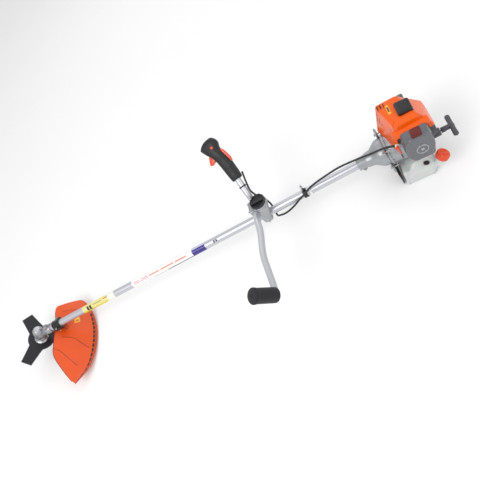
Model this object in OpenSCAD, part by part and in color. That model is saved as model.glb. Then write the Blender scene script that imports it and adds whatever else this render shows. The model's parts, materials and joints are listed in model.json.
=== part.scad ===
// Petrol brush cutter: straight drive tube, bevel gear head with a three-tooth
// blade, two-part handlebar and a single-cylinder two-stroke engine.
// +X runs along the tube towards the engine, +Y to the operator's right, +Z up.

/* [Tube] */
// Length of the tube between the gear head and the clutch housing
tube_len = 1400; // [1100:10:1700]
// Outer diameter of the tube
tube_d = 28; // [25:1:32]
// Wall of the tube
tube_wall = 1.5; // [1.2:0.1:2.5]
// Diameter of the drive shaft
shaft_d = 8; // [7:1:10]
// Height of the tube's axis above the ground
axis_h = 125; // [118:1:140]

/* [Cutting head] */
// Angle of the blade's plane to the tube
head_tilt = 35; // [28:1:40]
// Diameter of the blade
blade_d = 250; // [200:5:255]
// Thickness of the blade
blade_t = 2; // [1.4:0.2:3]
// Bore of the blade
blade_bore = 25.4; // [20:0.1:25.4]
// Width of one tooth at its tip
tooth_w = 48; // [36:1:56]
// Diameter of the blade's middle disc
blade_disc_d = 114; // [100:1:130]
// Turn of the blade at rest
blade_turn = 2; // [0:1:120]
// Outer diameter of the gear case
case_d = 44; // [42:1:52]
// Diameter of the upper blade flange
flange_d = 57; // [50:1:64]

/* [Guard] */
// Thickness of the guard's shell
guard_t = 3; // [2.4:0.2:5]
// Height of the guard's shell over the blade's plane
guard_h = 58; // [54:1:66]
// Depth of the lip round the guard's outer edge
guard_lip = 7.5; // [6:1:14]

/* [Handlebar] */
// Place of the handlebar bracket along the tube
bracket_x = 1066; // [700:1:1150]
// Diameter of the bracket's body and of its knob
bracket_d = 56; // [50:1:64]
// Outer diameter of the handlebars
bar_d = 22; // [19:1:25]
// Wall of the handlebars
bar_wall = 1.5; // [1.2:0.1:2.5]
// Height of the handlebar's axis over the tube's axis
bar_h = 54; // [50:1:70]
// Diameter of the left foam grip
grip_d = 48; // [34:1:52]
// Length of the left foam grip
grip_len = 88; // [76:1:110]
// Outer diameter of the throttle cable's sleeve
cable_d = 7; // [5:1:8]

/* [Engine] */
// Bore of the cylinder
bore_d = 40; // [36:1:44]
// Stroke of the piston
stroke = 30; // [26:1:32]
// Outer diameter of the clutch drum
drum_d = 72; // [60:1:76]
// Outer diameter of the flywheel
flywheel_d = 104; // [90:1:110]
// Height of the engine cover's top over the tube's axis
cover_top = 148; // [144:1:165]
// Wall of the moulded covers
cover_wall = 3; // [2:0.5:4]
// Wall of the fuel tank
tank_wall = 2.5; // [2:0.5:4]
// Diameter of the fuel cap
fuel_cap_d = 42; // [34:1:46]
// Diameter of the recoil starter's housing
recoil_d = 116; // [100:1:124]
// Length of the starter handle's bar
pull_len = 94; // [80:1:110]

/* [Hidden] */
$fn = 48;

// clearances
fit = 0.05;            // running fit, radial
gap = 0.3;             // between parts that pass each other
seat = 0.02;           // between faces that are fastened together

// main places on the tube's axis
tube_r = tube_d / 2;
tube_in = tube_r - tube_wall;
head_x = -69;                    // where the two gear axes cross
engine_x = tube_len + 97;        // back face of the clutch housing
origin_x = engine_x / 2 + 24.2;  // middle of the whole machine
origin_y = -77;
bar_x = bracket_x - 25;

// cutting head, measured from the crossing of the gear axes
blade_z = -36.5;
case_r = case_d / 2;
bearing_r = 16;
small_bearing_r = 13;
spindle_r = 6;
crown_teeth = 19;
pinion_teeth = 14;
gear_pitch = 1.5;                       // pitch diameter per tooth
gear_face = 8;
crown_r = crown_teeth * gear_pitch / 2;
crown_cone = 32;                        // half angles of the pitch cones:
pinion_cone = 90 - head_tilt - crown_cone;
cone_len = crown_r / sin(crown_cone);
pinion_r = cone_len * sin(pinion_cone);
crown_z = cone_len * cos(crown_cone);
pinion_z = cone_len * cos(pinion_cone);
pinion_far = head_x + pinion_z;

// engine, measured from the clutch housing's back face
case_z0 = 38;                // crankcase front face
case_len = 66;
crank_x = 71;                // cylinder axis
case_half = 37;
deck_z = 38;                 // cylinder base
tdc_z = 92;                  // piston crown at the top of its stroke
piston_h = 36;
bore_r = bore_d / 2;
journal_r = 7.5;
web_gap = 20;
web_t = 8;
web_r = stroke / 2 + 9;
recoil_x = 108;
recoil_r = recoil_d / 2;
drum_r = drum_d / 2;
flywheel_r = flywheel_d / 2;
cover_x0 = 3;
filter_y = -68;              // back of the air filter
tank_z = -axis_h;            // the tank's base stands on the ground
pull_y = -5;                 // place of the starter rope
pull_z = -35;

// colours
silver = [0.78, 0.78, 0.80];
steel = [0.62, 0.63, 0.65];
cast = [0.60, 0.61, 0.63];
orange = [0.93, 0.30, 0.08];
black = [0.08, 0.08, 0.09];
white = [0.88, 0.88, 0.86];

// ---------------------------------------------------------------- helpers

// puts the tube's own frame into the machine's frame
module place() translate([-origin_x, -origin_y, axis_h]) children();
// the cutting head: +Z up the output shaft
module at_head() place() translate([head_x, 0, 0]) rotate([0, head_tilt, 0]) children();
module at_engine() place() translate([engine_x, 0, 0]) children();
// a cylinder along +X
module rod(x, r, len) translate([x, 0, 0]) rotate([0, 90, 0]) cylinder(r = r, h = len);
module pipe(x, r, bore, len) difference() {
    rod(x, r, len);
    rod(x - 1, bore, len + 2);
}
// a ball bearing along Z: two rings with the balls between
module bearing(bore, outer, width) {
    mid = (bore + outer) / 2;
    ball = (outer - bore) * 0.22;
    difference() {
        cylinder(r = outer - seat, h = width);
        translate([0, 0, -1]) cylinder(r = outer - (outer - bore) * 0.28, h = width + 2);
    }
    difference() {
        cylinder(r = bore + (outer - bore) * 0.28, h = width);
        translate([0, 0, -1]) cylinder(r = bore + seat, h = width + 2);
    }
    for (a = [0:45:315]) rotate([0, 0, a])
        translate([mid, 0, width / 2]) sphere(r = ball - gap, $fn = 16);
}
// a socket-head screw along -Z with its seat at z = 0
module screw(r, len, head = 1.7) {
    translate([0, 0, -len]) cylinder(r = r, h = len, $fn = 20);
    difference() {
        cylinder(r = r * head, h = r * 1.8, $fn = 24);
        translate([0, 0, r]) cylinder(r = r * 0.9, h = r * 2, $fn = 6);
    }
}
// a bevel gear whose teeth stop at the pitch cone
module bevel(teeth, big, height, shrink) {
    linear_extrude(height = height, scale = shrink) union() {
        circle(r = big - 1.9, $fn = 32);
        for (i = [0:teeth - 1]) rotate(i * 360 / teeth)
            polygon([[big - 2.6, -1.5], [big - gap, -0.7], [big - gap, 0.7], [big - 2.6, 1.5]]);
    }
}
// a smooth curve through points: one point at place t, from 0 to the last index
function bend(p, t) =
    let (n = len(p) - 1, i = min(floor(t), n - 1), u = t - i,
         a = p[max(i - 1, 0)], b = p[i], c = p[i + 1], d = p[min(i + 2, n)])
    0.5 * (2 * b + (c - a) * u + (2 * a - 5 * b + 4 * c - d) * u * u
           + (3 * b - a - 3 * c + d) * u * u * u);
// rings of points round a curve, each at right angles to it
function hoops(points, r, rings, sides) =
    let (n = len(points) - 1, path = [for (i = [0:rings]) bend(points, n * i / rings)])
    [for (i = [0:rings])
        let (t = path[min(i + 1, rings)] - path[max(i - 1, 0)], along = t / norm(t),
             side = cross(along, [0.2, 0.1, 1]), e = side / norm(side), f = cross(along, e))
        for (k = [0:sides - 1]) path[i] + r * (cos(360 * k / sides) * e + sin(360 * k / sides) * f)];
// a round cord along a curve, closed at both ends
module cord(points, r, rings, sides = 8) {
    walls = [for (i = [0:rings - 1]) for (k = [0:sides - 1])
        let (a = i * sides + k, b = i * sides + (k + 1) % sides) [a, b, b + sides, a + sides]];
    ends = [[for (k = [sides - 1:-1:0]) k], [for (k = [0:sides - 1]) rings * sides + k]];
    polyhedron(points = hoops(points, r, rings, sides), faces = concat(walls, ends), convexity = 10);
}
// a bent tube, open at both ends
module bent_tube(points, r, bore, rings, sides) {
    s = (rings + 1) * sides;
    last = rings * sides;
    walls = [for (i = [0:rings - 1]) for (k = [0:sides - 1])
        let (a = i * sides + k, b = i * sides + (k + 1) % sides)
        each [[a, b, b + sides], [a, b + sides, a + sides],
              [s + a, s + b + sides, s + b], [s + a, s + a + sides, s + b + sides]]];
    ends = [for (k = [0:sides - 1]) let (a = k, b = (k + 1) % sides)
        each [[a, s + a, s + b], [a, s + b, b],
              [last + a, last + b, s + last + b], [last + a, s + last + b, s + last + a]]];
    polyhedron(points = concat(hoops(points, r, rings, sides), hoops(points, bore, rings, sides)),
               faces = concat(walls, ends), convexity = 10);
}
// a closed shell between two grids of points of the same size
module shell(upper, lower) {
    m = len(upper);
    n = len(upper[0]);
    points = concat([for (row = upper) each row], [for (row = lower) each row]);
    s = m * n;
    faces = concat(
        [for (i = [0:m - 2]) for (j = [0:n - 2])
            each [[i * n + j, i * n + j + 1, (i + 1) * n + j + 1],
                  [i * n + j, (i + 1) * n + j + 1, (i + 1) * n + j]]],
        [for (i = [0:m - 2]) for (j = [0:n - 2])
            each [[s + i * n + j, s + (i + 1) * n + j + 1, s + i * n + j + 1],
                  [s + i * n + j, s + (i + 1) * n + j, s + (i + 1) * n + j + 1]]],
        [for (i = [0:m - 2]) each [[i * n, (i + 1) * n, s + (i + 1) * n], [i * n, s + (i + 1) * n, s + i * n]]],
        [for (i = [0:m - 2]) let (a = i * n + n - 1, b = a + n)
            each [[a, s + b, b], [a, s + a, s + b]]],
        [for (j = [0:n - 2]) each [[j, s + j + 1, j + 1], [j, s + j, s + j + 1]]],
        [for (j = [0:n - 2]) let (a = (m - 1) * n + j)
            each [[a, a + 1, s + a + 1], [a, s + a + 1, s + a]]]);
    polyhedron(points = points, faces = faces, convexity = 6);
}

// ---------------------------------------------------------------- gear head

pinch_z = tube_r + 8.5;      // height of the pinch screw's axis

module gear_case() color(cast) difference() {
    union() {
        place() rod(head_x + 6, tube_r + 6, 4 - head_x - 6);
        place() translate([-10, 0, tube_r + 6.5]) cube([20, 18, 14], center = true);
        at_head() translate([0, 0, -24]) cylinder(r = case_r, h = 46);
        at_head() translate([0, 0, 22]) sphere(r = case_r);
        at_head() translate([0, 0, -24]) cylinder(r = case_r + 2.5, h = 9);
    }
    at_head() translate([0, 0, -25]) cylinder(r = bearing_r, h = 53);
    at_head() translate([0, 0, 27]) cylinder(r = small_bearing_r, h = 9.5);
    place() rod(head_x, small_bearing_r, -head_x - 24);
    place() rod(-24, tube_r + fit, 30);
    at_head() translate([0, -case_r - 1, 2]) rotate([-90, 0, 0]) cylinder(r = 3, h = 10);
    place() translate([-10, 0, pinch_z]) rotate([90, 0, 0]) cylinder(r = 2.6, h = 30, center = true);
    place() translate([-10, 0, tube_r + 6]) cube([24, 1.6, 18], center = true);
}
module pinion_gear() color(steel) place() difference() {
    union() {
        translate([pinion_far, 0, 0]) rotate([0, -90, 0])
            bevel(pinion_teeth, pinion_r, gear_face * cos(pinion_cone), 1 - gear_face / cone_len);
        rod(pinion_far, 5, -24.5 - pinion_far);
    }
    rod(pinion_far + 1, shaft_d / 2 + fit, 60);
}
module crown_gear() color(steel) at_head() difference() {
    union() {
        translate([0, 0, crown_z]) mirror([0, 0, 1])
            bevel(crown_teeth, crown_r, gear_face * cos(crown_cone), 1 - gear_face / cone_len);
        translate([0, 0, crown_z]) cylinder(r = crown_r - 0.5, h = 3);
    }
    translate([0, 0, 10]) cylinder(r = spindle_r + fit, h = 20);
}
module output_shaft() color(steel) at_head() {
    cylinder(r = 5, h = 36);
    translate([0, 0, -13.8]) cylinder(r = spindle_r, h = 40);
    translate([0, 0, -24.5]) cylinder(r = 7.5, h = 11);
    translate([0, 0, blade_z - 18]) cylinder(r = spindle_r, h = -6 - blade_z);
}
module head_bearings() color(steel) {
    at_head() translate([0, 0, 28]) bearing(5, small_bearing_r, 8);
    at_head() translate([0, 0, -23]) bearing(7.5, bearing_r, 9);
    place() for (i = [0, 1])
        translate([-42 + i * 8.5, 0, 0]) rotate([0, 90, 0]) bearing(5, small_bearing_r, 8);
}
module head_screws() color(steel) {
    at_head() translate([0, -case_r - 1, 2]) rotate([90, 0, 0]) screw(3 - fit, 5);
    place() translate([-10, -9 - seat, pinch_z]) rotate([90, 0, 0]) screw(2.5, 18);
}

// ---------------------------------------------------------------- blade set

module upper_flange() color(silver) at_head() translate([0, 0, blade_z + blade_t / 2 + seat])
    difference() {
        rotate_extrude() polygon([
            [spindle_r + fit, -blade_t + 0.4], [blade_bore / 2 - fit, -blade_t + 0.4],
            [blade_bore / 2 - fit, 0], [flange_d / 2, 0], [flange_d / 2, 3],
            [flange_d / 2 - 9, 8.5], [spindle_r + fit, 8.5]]);
        translate([case_r - 10, 0, -5]) cylinder(r = 2.5, h = 20);
    }
module blade_outline() {
    difference() {
        union() {
            circle(d = blade_disc_d, $fn = 64);
            intersection() {
                circle(d = blade_d, $fn = 96);
                for (k = [0:2]) rotate(blade_turn + 120 * k) polygon([
                    [0, -blade_disc_d * 0.33], [blade_disc_d * 0.55, -tooth_w * 0.62],
                    [blade_d / 2 - 1, -tooth_w / 2], [blade_d / 2 - 1, tooth_w / 2],
                    [blade_disc_d * 0.55, tooth_w * 0.62], [0, blade_disc_d * 0.33]]);
            }
        }
        circle(d = blade_bore);
    }
}
module blade() color(black) at_head() translate([0, 0, blade_z - blade_t / 2])
    linear_extrude(height = blade_t) blade_outline();
module lower_flange() color(silver) at_head() translate([0, 0, blade_z - blade_t / 2 - seat])
    rotate_extrude() polygon([
        [spindle_r + fit, 0], [flange_d / 2 - 1, 0], [flange_d / 2 - 1, -2],
        [flange_d / 2 - 9, -6], [spindle_r + fit, -6]]);
module blade_nut() color(steel) at_head() translate([0, 0, blade_z - blade_t / 2 - 15])
    difference() {
        union() {
            cylinder(r = 9.8, h = 9 - gap, $fn = 6);
            translate([0, 0, 7]) cylinder(r = 11.5, h = 2 - 2 * seat);
        }
        translate([0, 0, -1]) cylinder(r = spindle_r + fit, h = 12);
    }

// ---------------------------------------------------------------- guard

// the guard's plan, in the blade's plane: first number towards the operator
guard_near = [[66, 106], [69, 24], [64, -60], [66, -118], [100, -182], [138, -238]];
guard_far = [[184, 124], [220, 66], [238, 0], [240, -62], [230, -128], [204, -192], [152, -250]];
guard_rows = 14;
guard_cols = 8;
function guard_spot(s, t) =
    let (a = bend(guard_near, 5 * s), b = bend(guard_far, 6 * s)) a + (b - a) * t;
// the shell crowns between its two edges and rises a little to the outer one
function guard_rise(s, t) = guard_h + 12 * sin(180 * t) * sin(180 * (0.15 + 0.7 * s)) + 4 * t;
function guard_point(s, t, down) =
    let (p = guard_spot(s, t)) [p[0], p[1], blade_z + guard_rise(s, t) - down];
module guard_shield() color(orange) at_head() difference() {
    union() {
        shell([for (i = [0:guard_rows]) [for (j = [0:guard_cols])
                   guard_point(i / guard_rows, j / guard_cols, 0)]],
              [for (i = [0:guard_rows]) [for (j = [0:guard_cols])
                   guard_point(i / guard_rows, j / guard_cols, guard_t)]]);
        shell([for (i = [0:guard_rows]) [for (j = [0, 1])
                   guard_point(i / guard_rows, 1, guard_t / 2 + j * guard_lip)]],
              [for (i = [0:guard_rows]) [for (j = [0, 1])
                   guard_point(i / guard_rows, 0.97, guard_t / 2 + j * guard_lip)]]);
    }
    for (y = [-13, 13]) translate([116, y, blade_z + guard_h - 20]) cylinder(r = 3, h = 50, $fn = 24);
}
// the clamp grips the tube and carries the guard on a foot
clamp_x0 = 22;
clamp_len = 36;
module guard_clamp() color(black) difference() {
    union() {
        place() rod(clamp_x0, tube_r + 6, clamp_len);
        intersection() {
            place() translate([clamp_x0, -22, -60]) cube([clamp_len, 44, 60]);
            at_head() translate([80, -30, blade_z + guard_h + 13.5]) cube([80, 60, 60]);
        }
        place() translate([clamp_x0 + 4, -tube_r - 15, -5]) cube([clamp_len - 8, 2 * tube_r + 30, 10]);
    }
    place() rod(clamp_x0 - 1, tube_r + fit, clamp_len + 2);
    place() for (y = [-1, 1]) translate([clamp_x0 + clamp_len / 2, y * (tube_r + 10), -70])
        cylinder(r = 2.6, h = 90, $fn = 24);
    at_head() for (y = [-13, 13]) translate([116, y, blade_z + guard_h]) cylinder(r = 2.6, h = 28, $fn = 24);
}
module guard_screws() color(steel) {
    at_head() for (y = [-13, 13]) translate([116, y, blade_z + guard_h + 3.5]) mirror([0, 0, 1])
        screw(2.5, 20);
    place() for (y = [-1, 1])
        translate([clamp_x0 + clamp_len / 2, y * (tube_r + 10), 5.1]) screw(2.5, 20);
}
// a blade that trims the line, screwed inside the lip near the guard's tip
cutter_s = 0.84;
cutter_at = guard_spot(cutter_s, 0.915);
cutter_run = guard_spot(cutter_s + 0.04, 1) - guard_spot(cutter_s - 0.04, 1);
module line_cutter() color(steel) at_head()
    translate([cutter_at[0], cutter_at[1], blade_z + guard_h - guard_t - 7]) difference() {
        rotate([0, 0, atan2(cutter_run[1], cutter_run[0])]) cube([26, 3, 15], center = true);
        rotate([0, 0, atan2(cutter_run[1], cutter_run[0])]) translate([-6, 0, 3]) rotate([90, 0, 0])
            cylinder(r = 2, h = 8, center = true, $fn = 20);
    }

// ---------------------------------------------------------------- tube

module drive_tube() color(silver) place() pipe(-23, tube_r, tube_in, engine_x - 60 + 23);
bush_count = 5;
module shaft_bushes() color(black) place() for (i = [0:bush_count - 1])
    pipe(60 + i * (tube_len - 120) / (bush_count - 1), tube_in - fit, shaft_d / 2 + fit, 16);
shaft_end = engine_x - 30;
module drive_shaft() color(steel) place() rod(pinion_far + 2, shaft_d / 2, shaft_end - pinion_far - 2);

// ---------------------------------------------------------------- harness point

ring_x = bracket_x + 143;
ring_r = 10;
module harness_clamp() color(black) place() difference() {
    union() {
        rod(ring_x - 7, tube_r + 2.5, 14);
        translate([ring_x - 5, -2.5, tube_r]) cube([10, 5, 12.5]);
    }
    rod(ring_x - 8, tube_r + fit, 16);
    translate([ring_x, 0, tube_r + 7]) rotate([90, 0, 0]) cylinder(r = 3, h = 20, center = true);
}
module harness_ring() color(silver) place() translate([ring_x, 0, tube_r + 7 + ring_r])
    rotate([0, 90, 0]) rotate_extrude() translate([ring_r, 0]) circle(r = 1.9, $fn = 20);

// ---------------------------------------------------------------- bracket

bracket_r = bracket_d / 2;
bar_r = bar_d / 2;
bracket_top = bar_h + bar_r + 6;
cap_half = 23;
cap_low = bar_h - bar_r - 7;
cap_screw = bar_r + 2.2;         // from the bar's axis to a cap screw's
base_x = bracket_x - 13;         // middle of the part that grips the tube
base_half = 19;
module cap_holes(r) for (y = [-1, 1]) for (z = [-1, 1])
    translate([bar_x - 20, y * 16, bar_h + z * cap_screw]) rotate([0, 90, 0])
        cylinder(r = r, h = 32, $fn = 20);
module base_holes(r, z, len) for (y = [-1, 1])
    translate([base_x, y * 21, z]) cylinder(r = r, h = len, $fn = 24);
module bar_bore() translate([bar_x, 0, bar_h]) rotate([90, 0, 0])
    cylinder(r = bar_r + fit, h = 90, center = true);
// the body narrows from the knob down to the tube
module bracket_body() color(cast) place() difference() {
    union() {
        difference() {
            translate([bracket_x, 0, gap / 2]) cylinder(r = bracket_r, h = bracket_top - gap / 2);
            translate([bracket_x + bracket_r, -40, bracket_top - 12]) rotate([0, 21, 0])
                translate([0, 0, -100]) cube([60, 80, 100]);
            translate([bar_x - 40, -40, cap_low - 1]) cube([40 + seat, 80, 60]);
        }
        translate([bar_x + seat, -cap_half, cap_low - 1]) cube([25, 2 * cap_half, bracket_top - cap_low + 1]);
        translate([base_x - base_half, -27, gap / 2]) cube([2 * base_half, 54, cap_low - 2]);
    }
    rod(bracket_x - 60, tube_r + fit, 120);
    bar_bore();
    translate([bracket_x, 0, 30]) cylinder(r = 5, h = 60);
    cap_holes(1.85);
    base_holes(3.1, -1, 22);
}
module bracket_base() color(cast) place() difference() {
    translate([base_x - base_half, -27, -20]) cube([2 * base_half, 54, 20 - gap / 2]);
    rod(bracket_x - 60, tube_r + fit, 120);
    base_holes(3.1, -23, 24);
    base_holes(5.6, -21, 7);
}
module bar_cap() color(cast) place() difference() {
    translate([bar_x - 17, -cap_half, cap_low]) cube([17 - gap, 2 * cap_half, bracket_top - cap_low - 1]);
    bar_bore();
    cap_holes(1.85);
}
module bracket_screws() color(steel) place() {
    for (y = [-1, 1]) for (z = [-1, 1])
        translate([bar_x - 17 - seat, y * 16, bar_h + z * cap_screw]) rotate([0, -90, 0]) screw(1.75, 26);
    for (y = [-1, 1]) translate([base_x, y * 21, -14 - seat]) mirror([0, 0, 1]) screw(3, 30);
}
module bracket_knob() color(black) place() translate([bracket_x, 0, bracket_top + 0.4]) {
    difference() {
        cylinder(r = bracket_r, h = 12);
        for (s = [-1, 1]) intersection() {
            translate([0, 0, 6]) cylinder(r = bracket_r - 4, h = 10);
            translate([-40, s * 15 - 10, 6]) cube([80, 20, 10]);
        }
        for (a = [0:30:330]) rotate([0, 0, a + 15]) translate([bracket_r + 2, 0, -1])
            cylinder(r = 3.4, h = 20, $fn = 16);
    }
    translate([0, 0, -36]) cylinder(r = 4, h = 37);
}

// ---------------------------------------------------------------- handlebars

left_route = [[0, -1, 0], [0, -24, 0], [0, -38, 0.4], [0, -62, 4], [3, -105, 6], [-3, -180, 10],
              [-3, -215, 10], [1, -270, 6], [4, -322, 2], [2, -342, 10], [-28, -357, 76]];
right_route = [[0, 1, 0], [0, 23, 0], [0, 32, 0.5], [-1.5, 40, 8], [-3.5, 54, 26], [-9, 92, 60],
               [-19, 150, 110]];
module hollow_bar(points, rings) translate([bar_x, 0, bar_h])
    bent_tube(points, bar_r, bar_r - bar_wall, rings, 20);
module left_bar() color(silver) place() hollow_bar(left_route, 36);
module right_bar() color(silver) place() hollow_bar(right_route, 18);

// the left grip slides over the last stretch of its bar, which curves a little inside the bore
grip_gap = 2;
grip_a = left_route[9];
grip_b = left_route[10];
grip_dir = (grip_b - grip_a) / norm(grip_b - grip_a);
module left_grip() color(black) place() translate([bar_x, 0, bar_h] + grip_a)
    rotate([0, acos(grip_dir[2]), atan2(grip_dir[1], grip_dir[0])]) difference() {
        union() {
            translate([0, 0, -4]) cylinder(r = grip_d / 2, h = grip_len - 3);
            translate([0, 0, grip_len - 11]) cylinder(r = grip_d / 2 + 1.5, h = 7);
            translate([0, 0, grip_len - 4]) cylinder(r = grip_d / 2 - 2, h = 3);
        }
        translate([0, 0, -12]) cylinder(r = bar_r + grip_gap, h = 12 + norm(grip_b - grip_a) + 1);
        sphere(r = bar_r + grip_gap, $fn = 32);
        d = left_route[8] - grip_a;
        rotate([0, -acos(grip_dir[2]), 0]) rotate([0, 0, -atan2(grip_dir[1], grip_dir[0])])
            rotate([0, atan2(norm([d[0], d[1]]), d[2]), atan2(d[1], d[0])])
                cylinder(r = bar_r + grip_gap, h = 60, $fn = 32);
    }

// the throttle grip: its own +Z runs out along the bar, -X is the trigger's side
grip_out = 48;
grip_fwd = 12;
module at_throttle() place() translate([bar_x - 10, 99, bar_h + 65])
    rotate([-grip_out, -grip_fwd, 0]) children();
pin_r = 2;
trigger_pivot = [-19, 112];
lever_pivot = [15, 108];
module grip_slab(x0, x1, z, half, r) translate([(x0 + x1) / 2, 0, z]) hull()
    for (s = [-1, 1]) for (w = [-1, 1])
        translate([s * ((x1 - x0) / 2 - r), w * (half - r), 0]) cylinder(r = r, h = 4, $fn = 16);
module throttle_grip() color(black) {
    for (p = [trigger_pivot, lever_pivot]) at_throttle() translate([p[0], 0, p[1]]) rotate([90, 0, 0])
        cylinder(r = pin_r, h = 16, center = true, $fn = 32);
    at_throttle() difference() {
        grip_body();
        translate([0, 0, -10]) cylinder(r = bar_r + 1, h = 82);
        translate([-60, -7, 84]) cube([50, 14, 36]);
        translate([8, -6, 54]) cube([30, 12, 62]);
        translate([-6, -24, 124]) cube([12, 14, 16]);
    }
}
module grip_body() {
    union() {
        hull() {
            grip_slab(-19, 20, -3, 19, 15);
            grip_slab(-21, 21, 20, 18, 15);
            grip_slab(-23, 22, 84, 18, 14);
        }
        hull() {
            grip_slab(-23, 22, 84, 18, 14);
            grip_slab(-24, 17, 112, 20, 12);
            grip_slab(-50, 17, 134, 20, 12);
        }
        hull() {
            grip_slab(-50, 17, 134, 20, 12);
            grip_slab(-48, 20, 146, 20, 12);
            grip_slab(-30, 8, 158, 16, 10);
        }
    }
}
module throttle_trigger() color(orange) at_throttle() translate([trigger_pivot[0], 0, trigger_pivot[1]])
    rotate([90, 0, 0]) difference() {
        linear_extrude(height = 12, center = true) polygon([
            [-5, 5], [5, 5], [6, -6], [1, -20], [-8, -21], [-24, -25], [-27, -20], [-20, -10], [-16, 2]]);
        cylinder(r = pin_r + fit, h = 40, center = true, $fn = 32);
    }
module safety_lever() color(orange) at_throttle() translate([lever_pivot[0], 0, lever_pivot[1]])
    rotate([90, 0, 0]) difference() {
        linear_extrude(height = 10, center = true) polygon([
            [-3, 4], [3, 4], [8, -8], [14, -36], [12, -50], [8, -51], [4, -40], [-2, -10]]);
        cylinder(r = pin_r + fit, h = 40, center = true, $fn = 32);
    }
module stop_switch() color(orange) at_throttle() translate([-5 + gap, -22.5, 126])
    cube([10 - 2 * gap, 8, 8]);

// ---------------------------------------------------------------- cable

// from the throttle grip, past the bracket, under the tube, then along its top
cable_route = [
    [1056, 112, 122], [1054, 92, 110], [1053, 70, 98], [1054, 50, 84], [1062, 39, 62], [1070, 37, 40],
    [1076, 36, 14], [1078, 29, -11], [1079, 9, -25], [1084, -10, -25], [1097, -21, -17], [1115, -23, -18],
    [1138, -23, -13], [1164, -22, -2], [1186, -21, 10], [1207, -19, 18], [1232, -12, 26], [1262, -4, 27],
    [1300, 0, 29], [1345, 0, 34], [1390, -4, 35], [1430, -12, 38], [1462, -26, 50], [1490, -45, 70],
    [1512, -60, 82], [1530, -66, 80], [1543, -67, 74]];
module throttle_cable() color(black) place() cord(cable_route, cable_d / 2, 64);
module cable_ties() {
    color(white) place() difference() {
        rod(1226, tube_r + 1.6, 5);
        rod(1225, tube_r + fit, 7);
    }
    color(black) place() translate([bar_x, 0, bar_h] + (right_route[4] + right_route[5]) / 2)
        rotate([-atan2(38, 34), -7, 0]) difference() {
            cylinder(r = bar_r + 2, h = 5);
            translate([0, 0, -1]) cylinder(r = bar_r + 0.6, h = 7);
        }
}

// ---------------------------------------------------------------- clutch

bolt = 41;                   // the housing's screws, from the axis
pivot_r = 24;                // the shoes' pivots, from the axis

module clutch_housing() color(cast) at_engine() difference() {
    union() {
        rotate([0, 90, 0]) rotate_extrude($fn = 72) polygon([
            [0, -97], [tube_r + 7, -97], [tube_r + 7, -69], [tube_r + 10, -64],
            [27, -46], [drum_r + 7, -24], [drum_r + 10, -8], [drum_r + 10, 0], [0, 0]]);
        for (y = [-1, 1]) for (z = [-1, 1]) translate([-8, y * bolt, z * bolt]) rotate([0, 90, 0])
            cylinder(r = 14, h = 8);
        translate([-91, -9, -tube_r - 15]) cube([16, 18, 14]);
    }
    rod(-98, tube_r + fit, 40);
    rod(-60, 6.5, 20);
    rod(-47, 14, 9.2);
    rod(-40, 9, 18);
    rod(-25, drum_r + 2.5, 26);
    for (y = [-1, 1]) for (z = [-1, 1]) translate([-9, y * bolt, z * bolt]) rotate([0, 90, 0])
        cylinder(r = 2.6, h = 10, $fn = 20);
    translate([-83, 0, -tube_r - 10]) rotate([90, 0, 0]) cylinder(r = 2.6, h = 40, center = true, $fn = 20);
    translate([-95, -0.8, -tube_r - 17]) cube([24, 1.6, 18]);
}
module housing_screws() color(steel) at_engine() {
    for (y = [-1, 1]) for (z = [-1, 1]) translate([-8 - seat, y * bolt, z * bolt]) rotate([0, -90, 0])
        screw(2.5, 22);
    translate([-83, -9 - seat, -tube_r - 10]) rotate([90, 0, 0]) screw(2.5, 18);
}
module clutch_drum() color(steel) at_engine() difference() {
    union() {
        rod(-58, 6, 36);
        rod(-22, drum_r, 20);
    }
    rod(-60, shaft_d / 2 + fit, 32);
    rod(-19, drum_r - 3, 20);
}
module clutch_shoes() color(cast) at_engine() difference() {
    union() {
        for (a = [0, 180]) rotate([a, 0, 0]) intersection() {
            pipe(-17, drum_r - 4, drum_r - 15, 13);
            translate([-20, -40, 4]) cube([20, 80, 40]);
        }
        translate([-15, -drum_r + 15, -3]) cube([9, drum_d - 30, 6]);
    }
    rod(-30, 7, 60);
    for (s = [-1, 1]) translate([0, 0, s * pivot_r]) rod(-30, 3 + fit, 60);
}

// ---------------------------------------------------------------- engine

module flywheel() color(cast) at_engine() difference() {
    union() {
        rod(3, flywheel_r, 5);
        rod(3, 18, 26);
        for (a = [0:30:330]) rotate([a, 0, 0]) translate([8, -1.5, 22]) cube([16, 3, flywheel_r - 24]);
        for (s = [-1, 1]) translate([0, 0, s * pivot_r]) rod(-18, 3, 22);
    }
    rod(-1, journal_r + fit, 60);
}
module fan_case() color(cast) at_engine() difference() {
    hull() for (y = [-1, 1]) for (z = [-1, 1])
        translate([seat, y * 44, z * 44 + 2]) rotate([0, 90, 0]) cylinder(r = 18, h = 35);
    rod(-1, flywheel_r + 3, 31);
    rod(20, 12, 30);
    for (y = [-1, 1]) for (z = [-1, 1]) translate([-1, y * bolt, z * bolt]) rotate([0, 90, 0])
        cylinder(r = 2.6, h = 34, $fn = 20);
}
module crankcase() color(cast) at_engine() difference() {
    translate([case_z0, -case_half, -case_half]) cube([case_len, 2 * case_half, case_half + deck_z]);
    rod(crank_x - web_gap / 2 - web_t - 2, web_r + 3, web_gap + 2 * web_t + 4);
    rod(case_z0 - 1, journal_r + 2, case_len + 2);
    rod(case_z0 + 2, bearing_r, 10);
    rod(case_z0 + case_len - 12, bearing_r, 10);
    translate([crank_x, 0, 0]) cylinder(r = bore_r + gap, h = deck_z + 1);
}
web_x = crank_x - web_gap / 2 - web_t;
module crankshaft() color(steel) at_engine() {
    rod(-6, 4, 6);
    rod(-1, journal_r, web_x + 2);
    rod(web_x, web_r, web_t);
    rod(crank_x + web_gap / 2, web_r, web_t);
    rod(crank_x + web_gap / 2 + web_t - 1, journal_r, 23);
}
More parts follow.
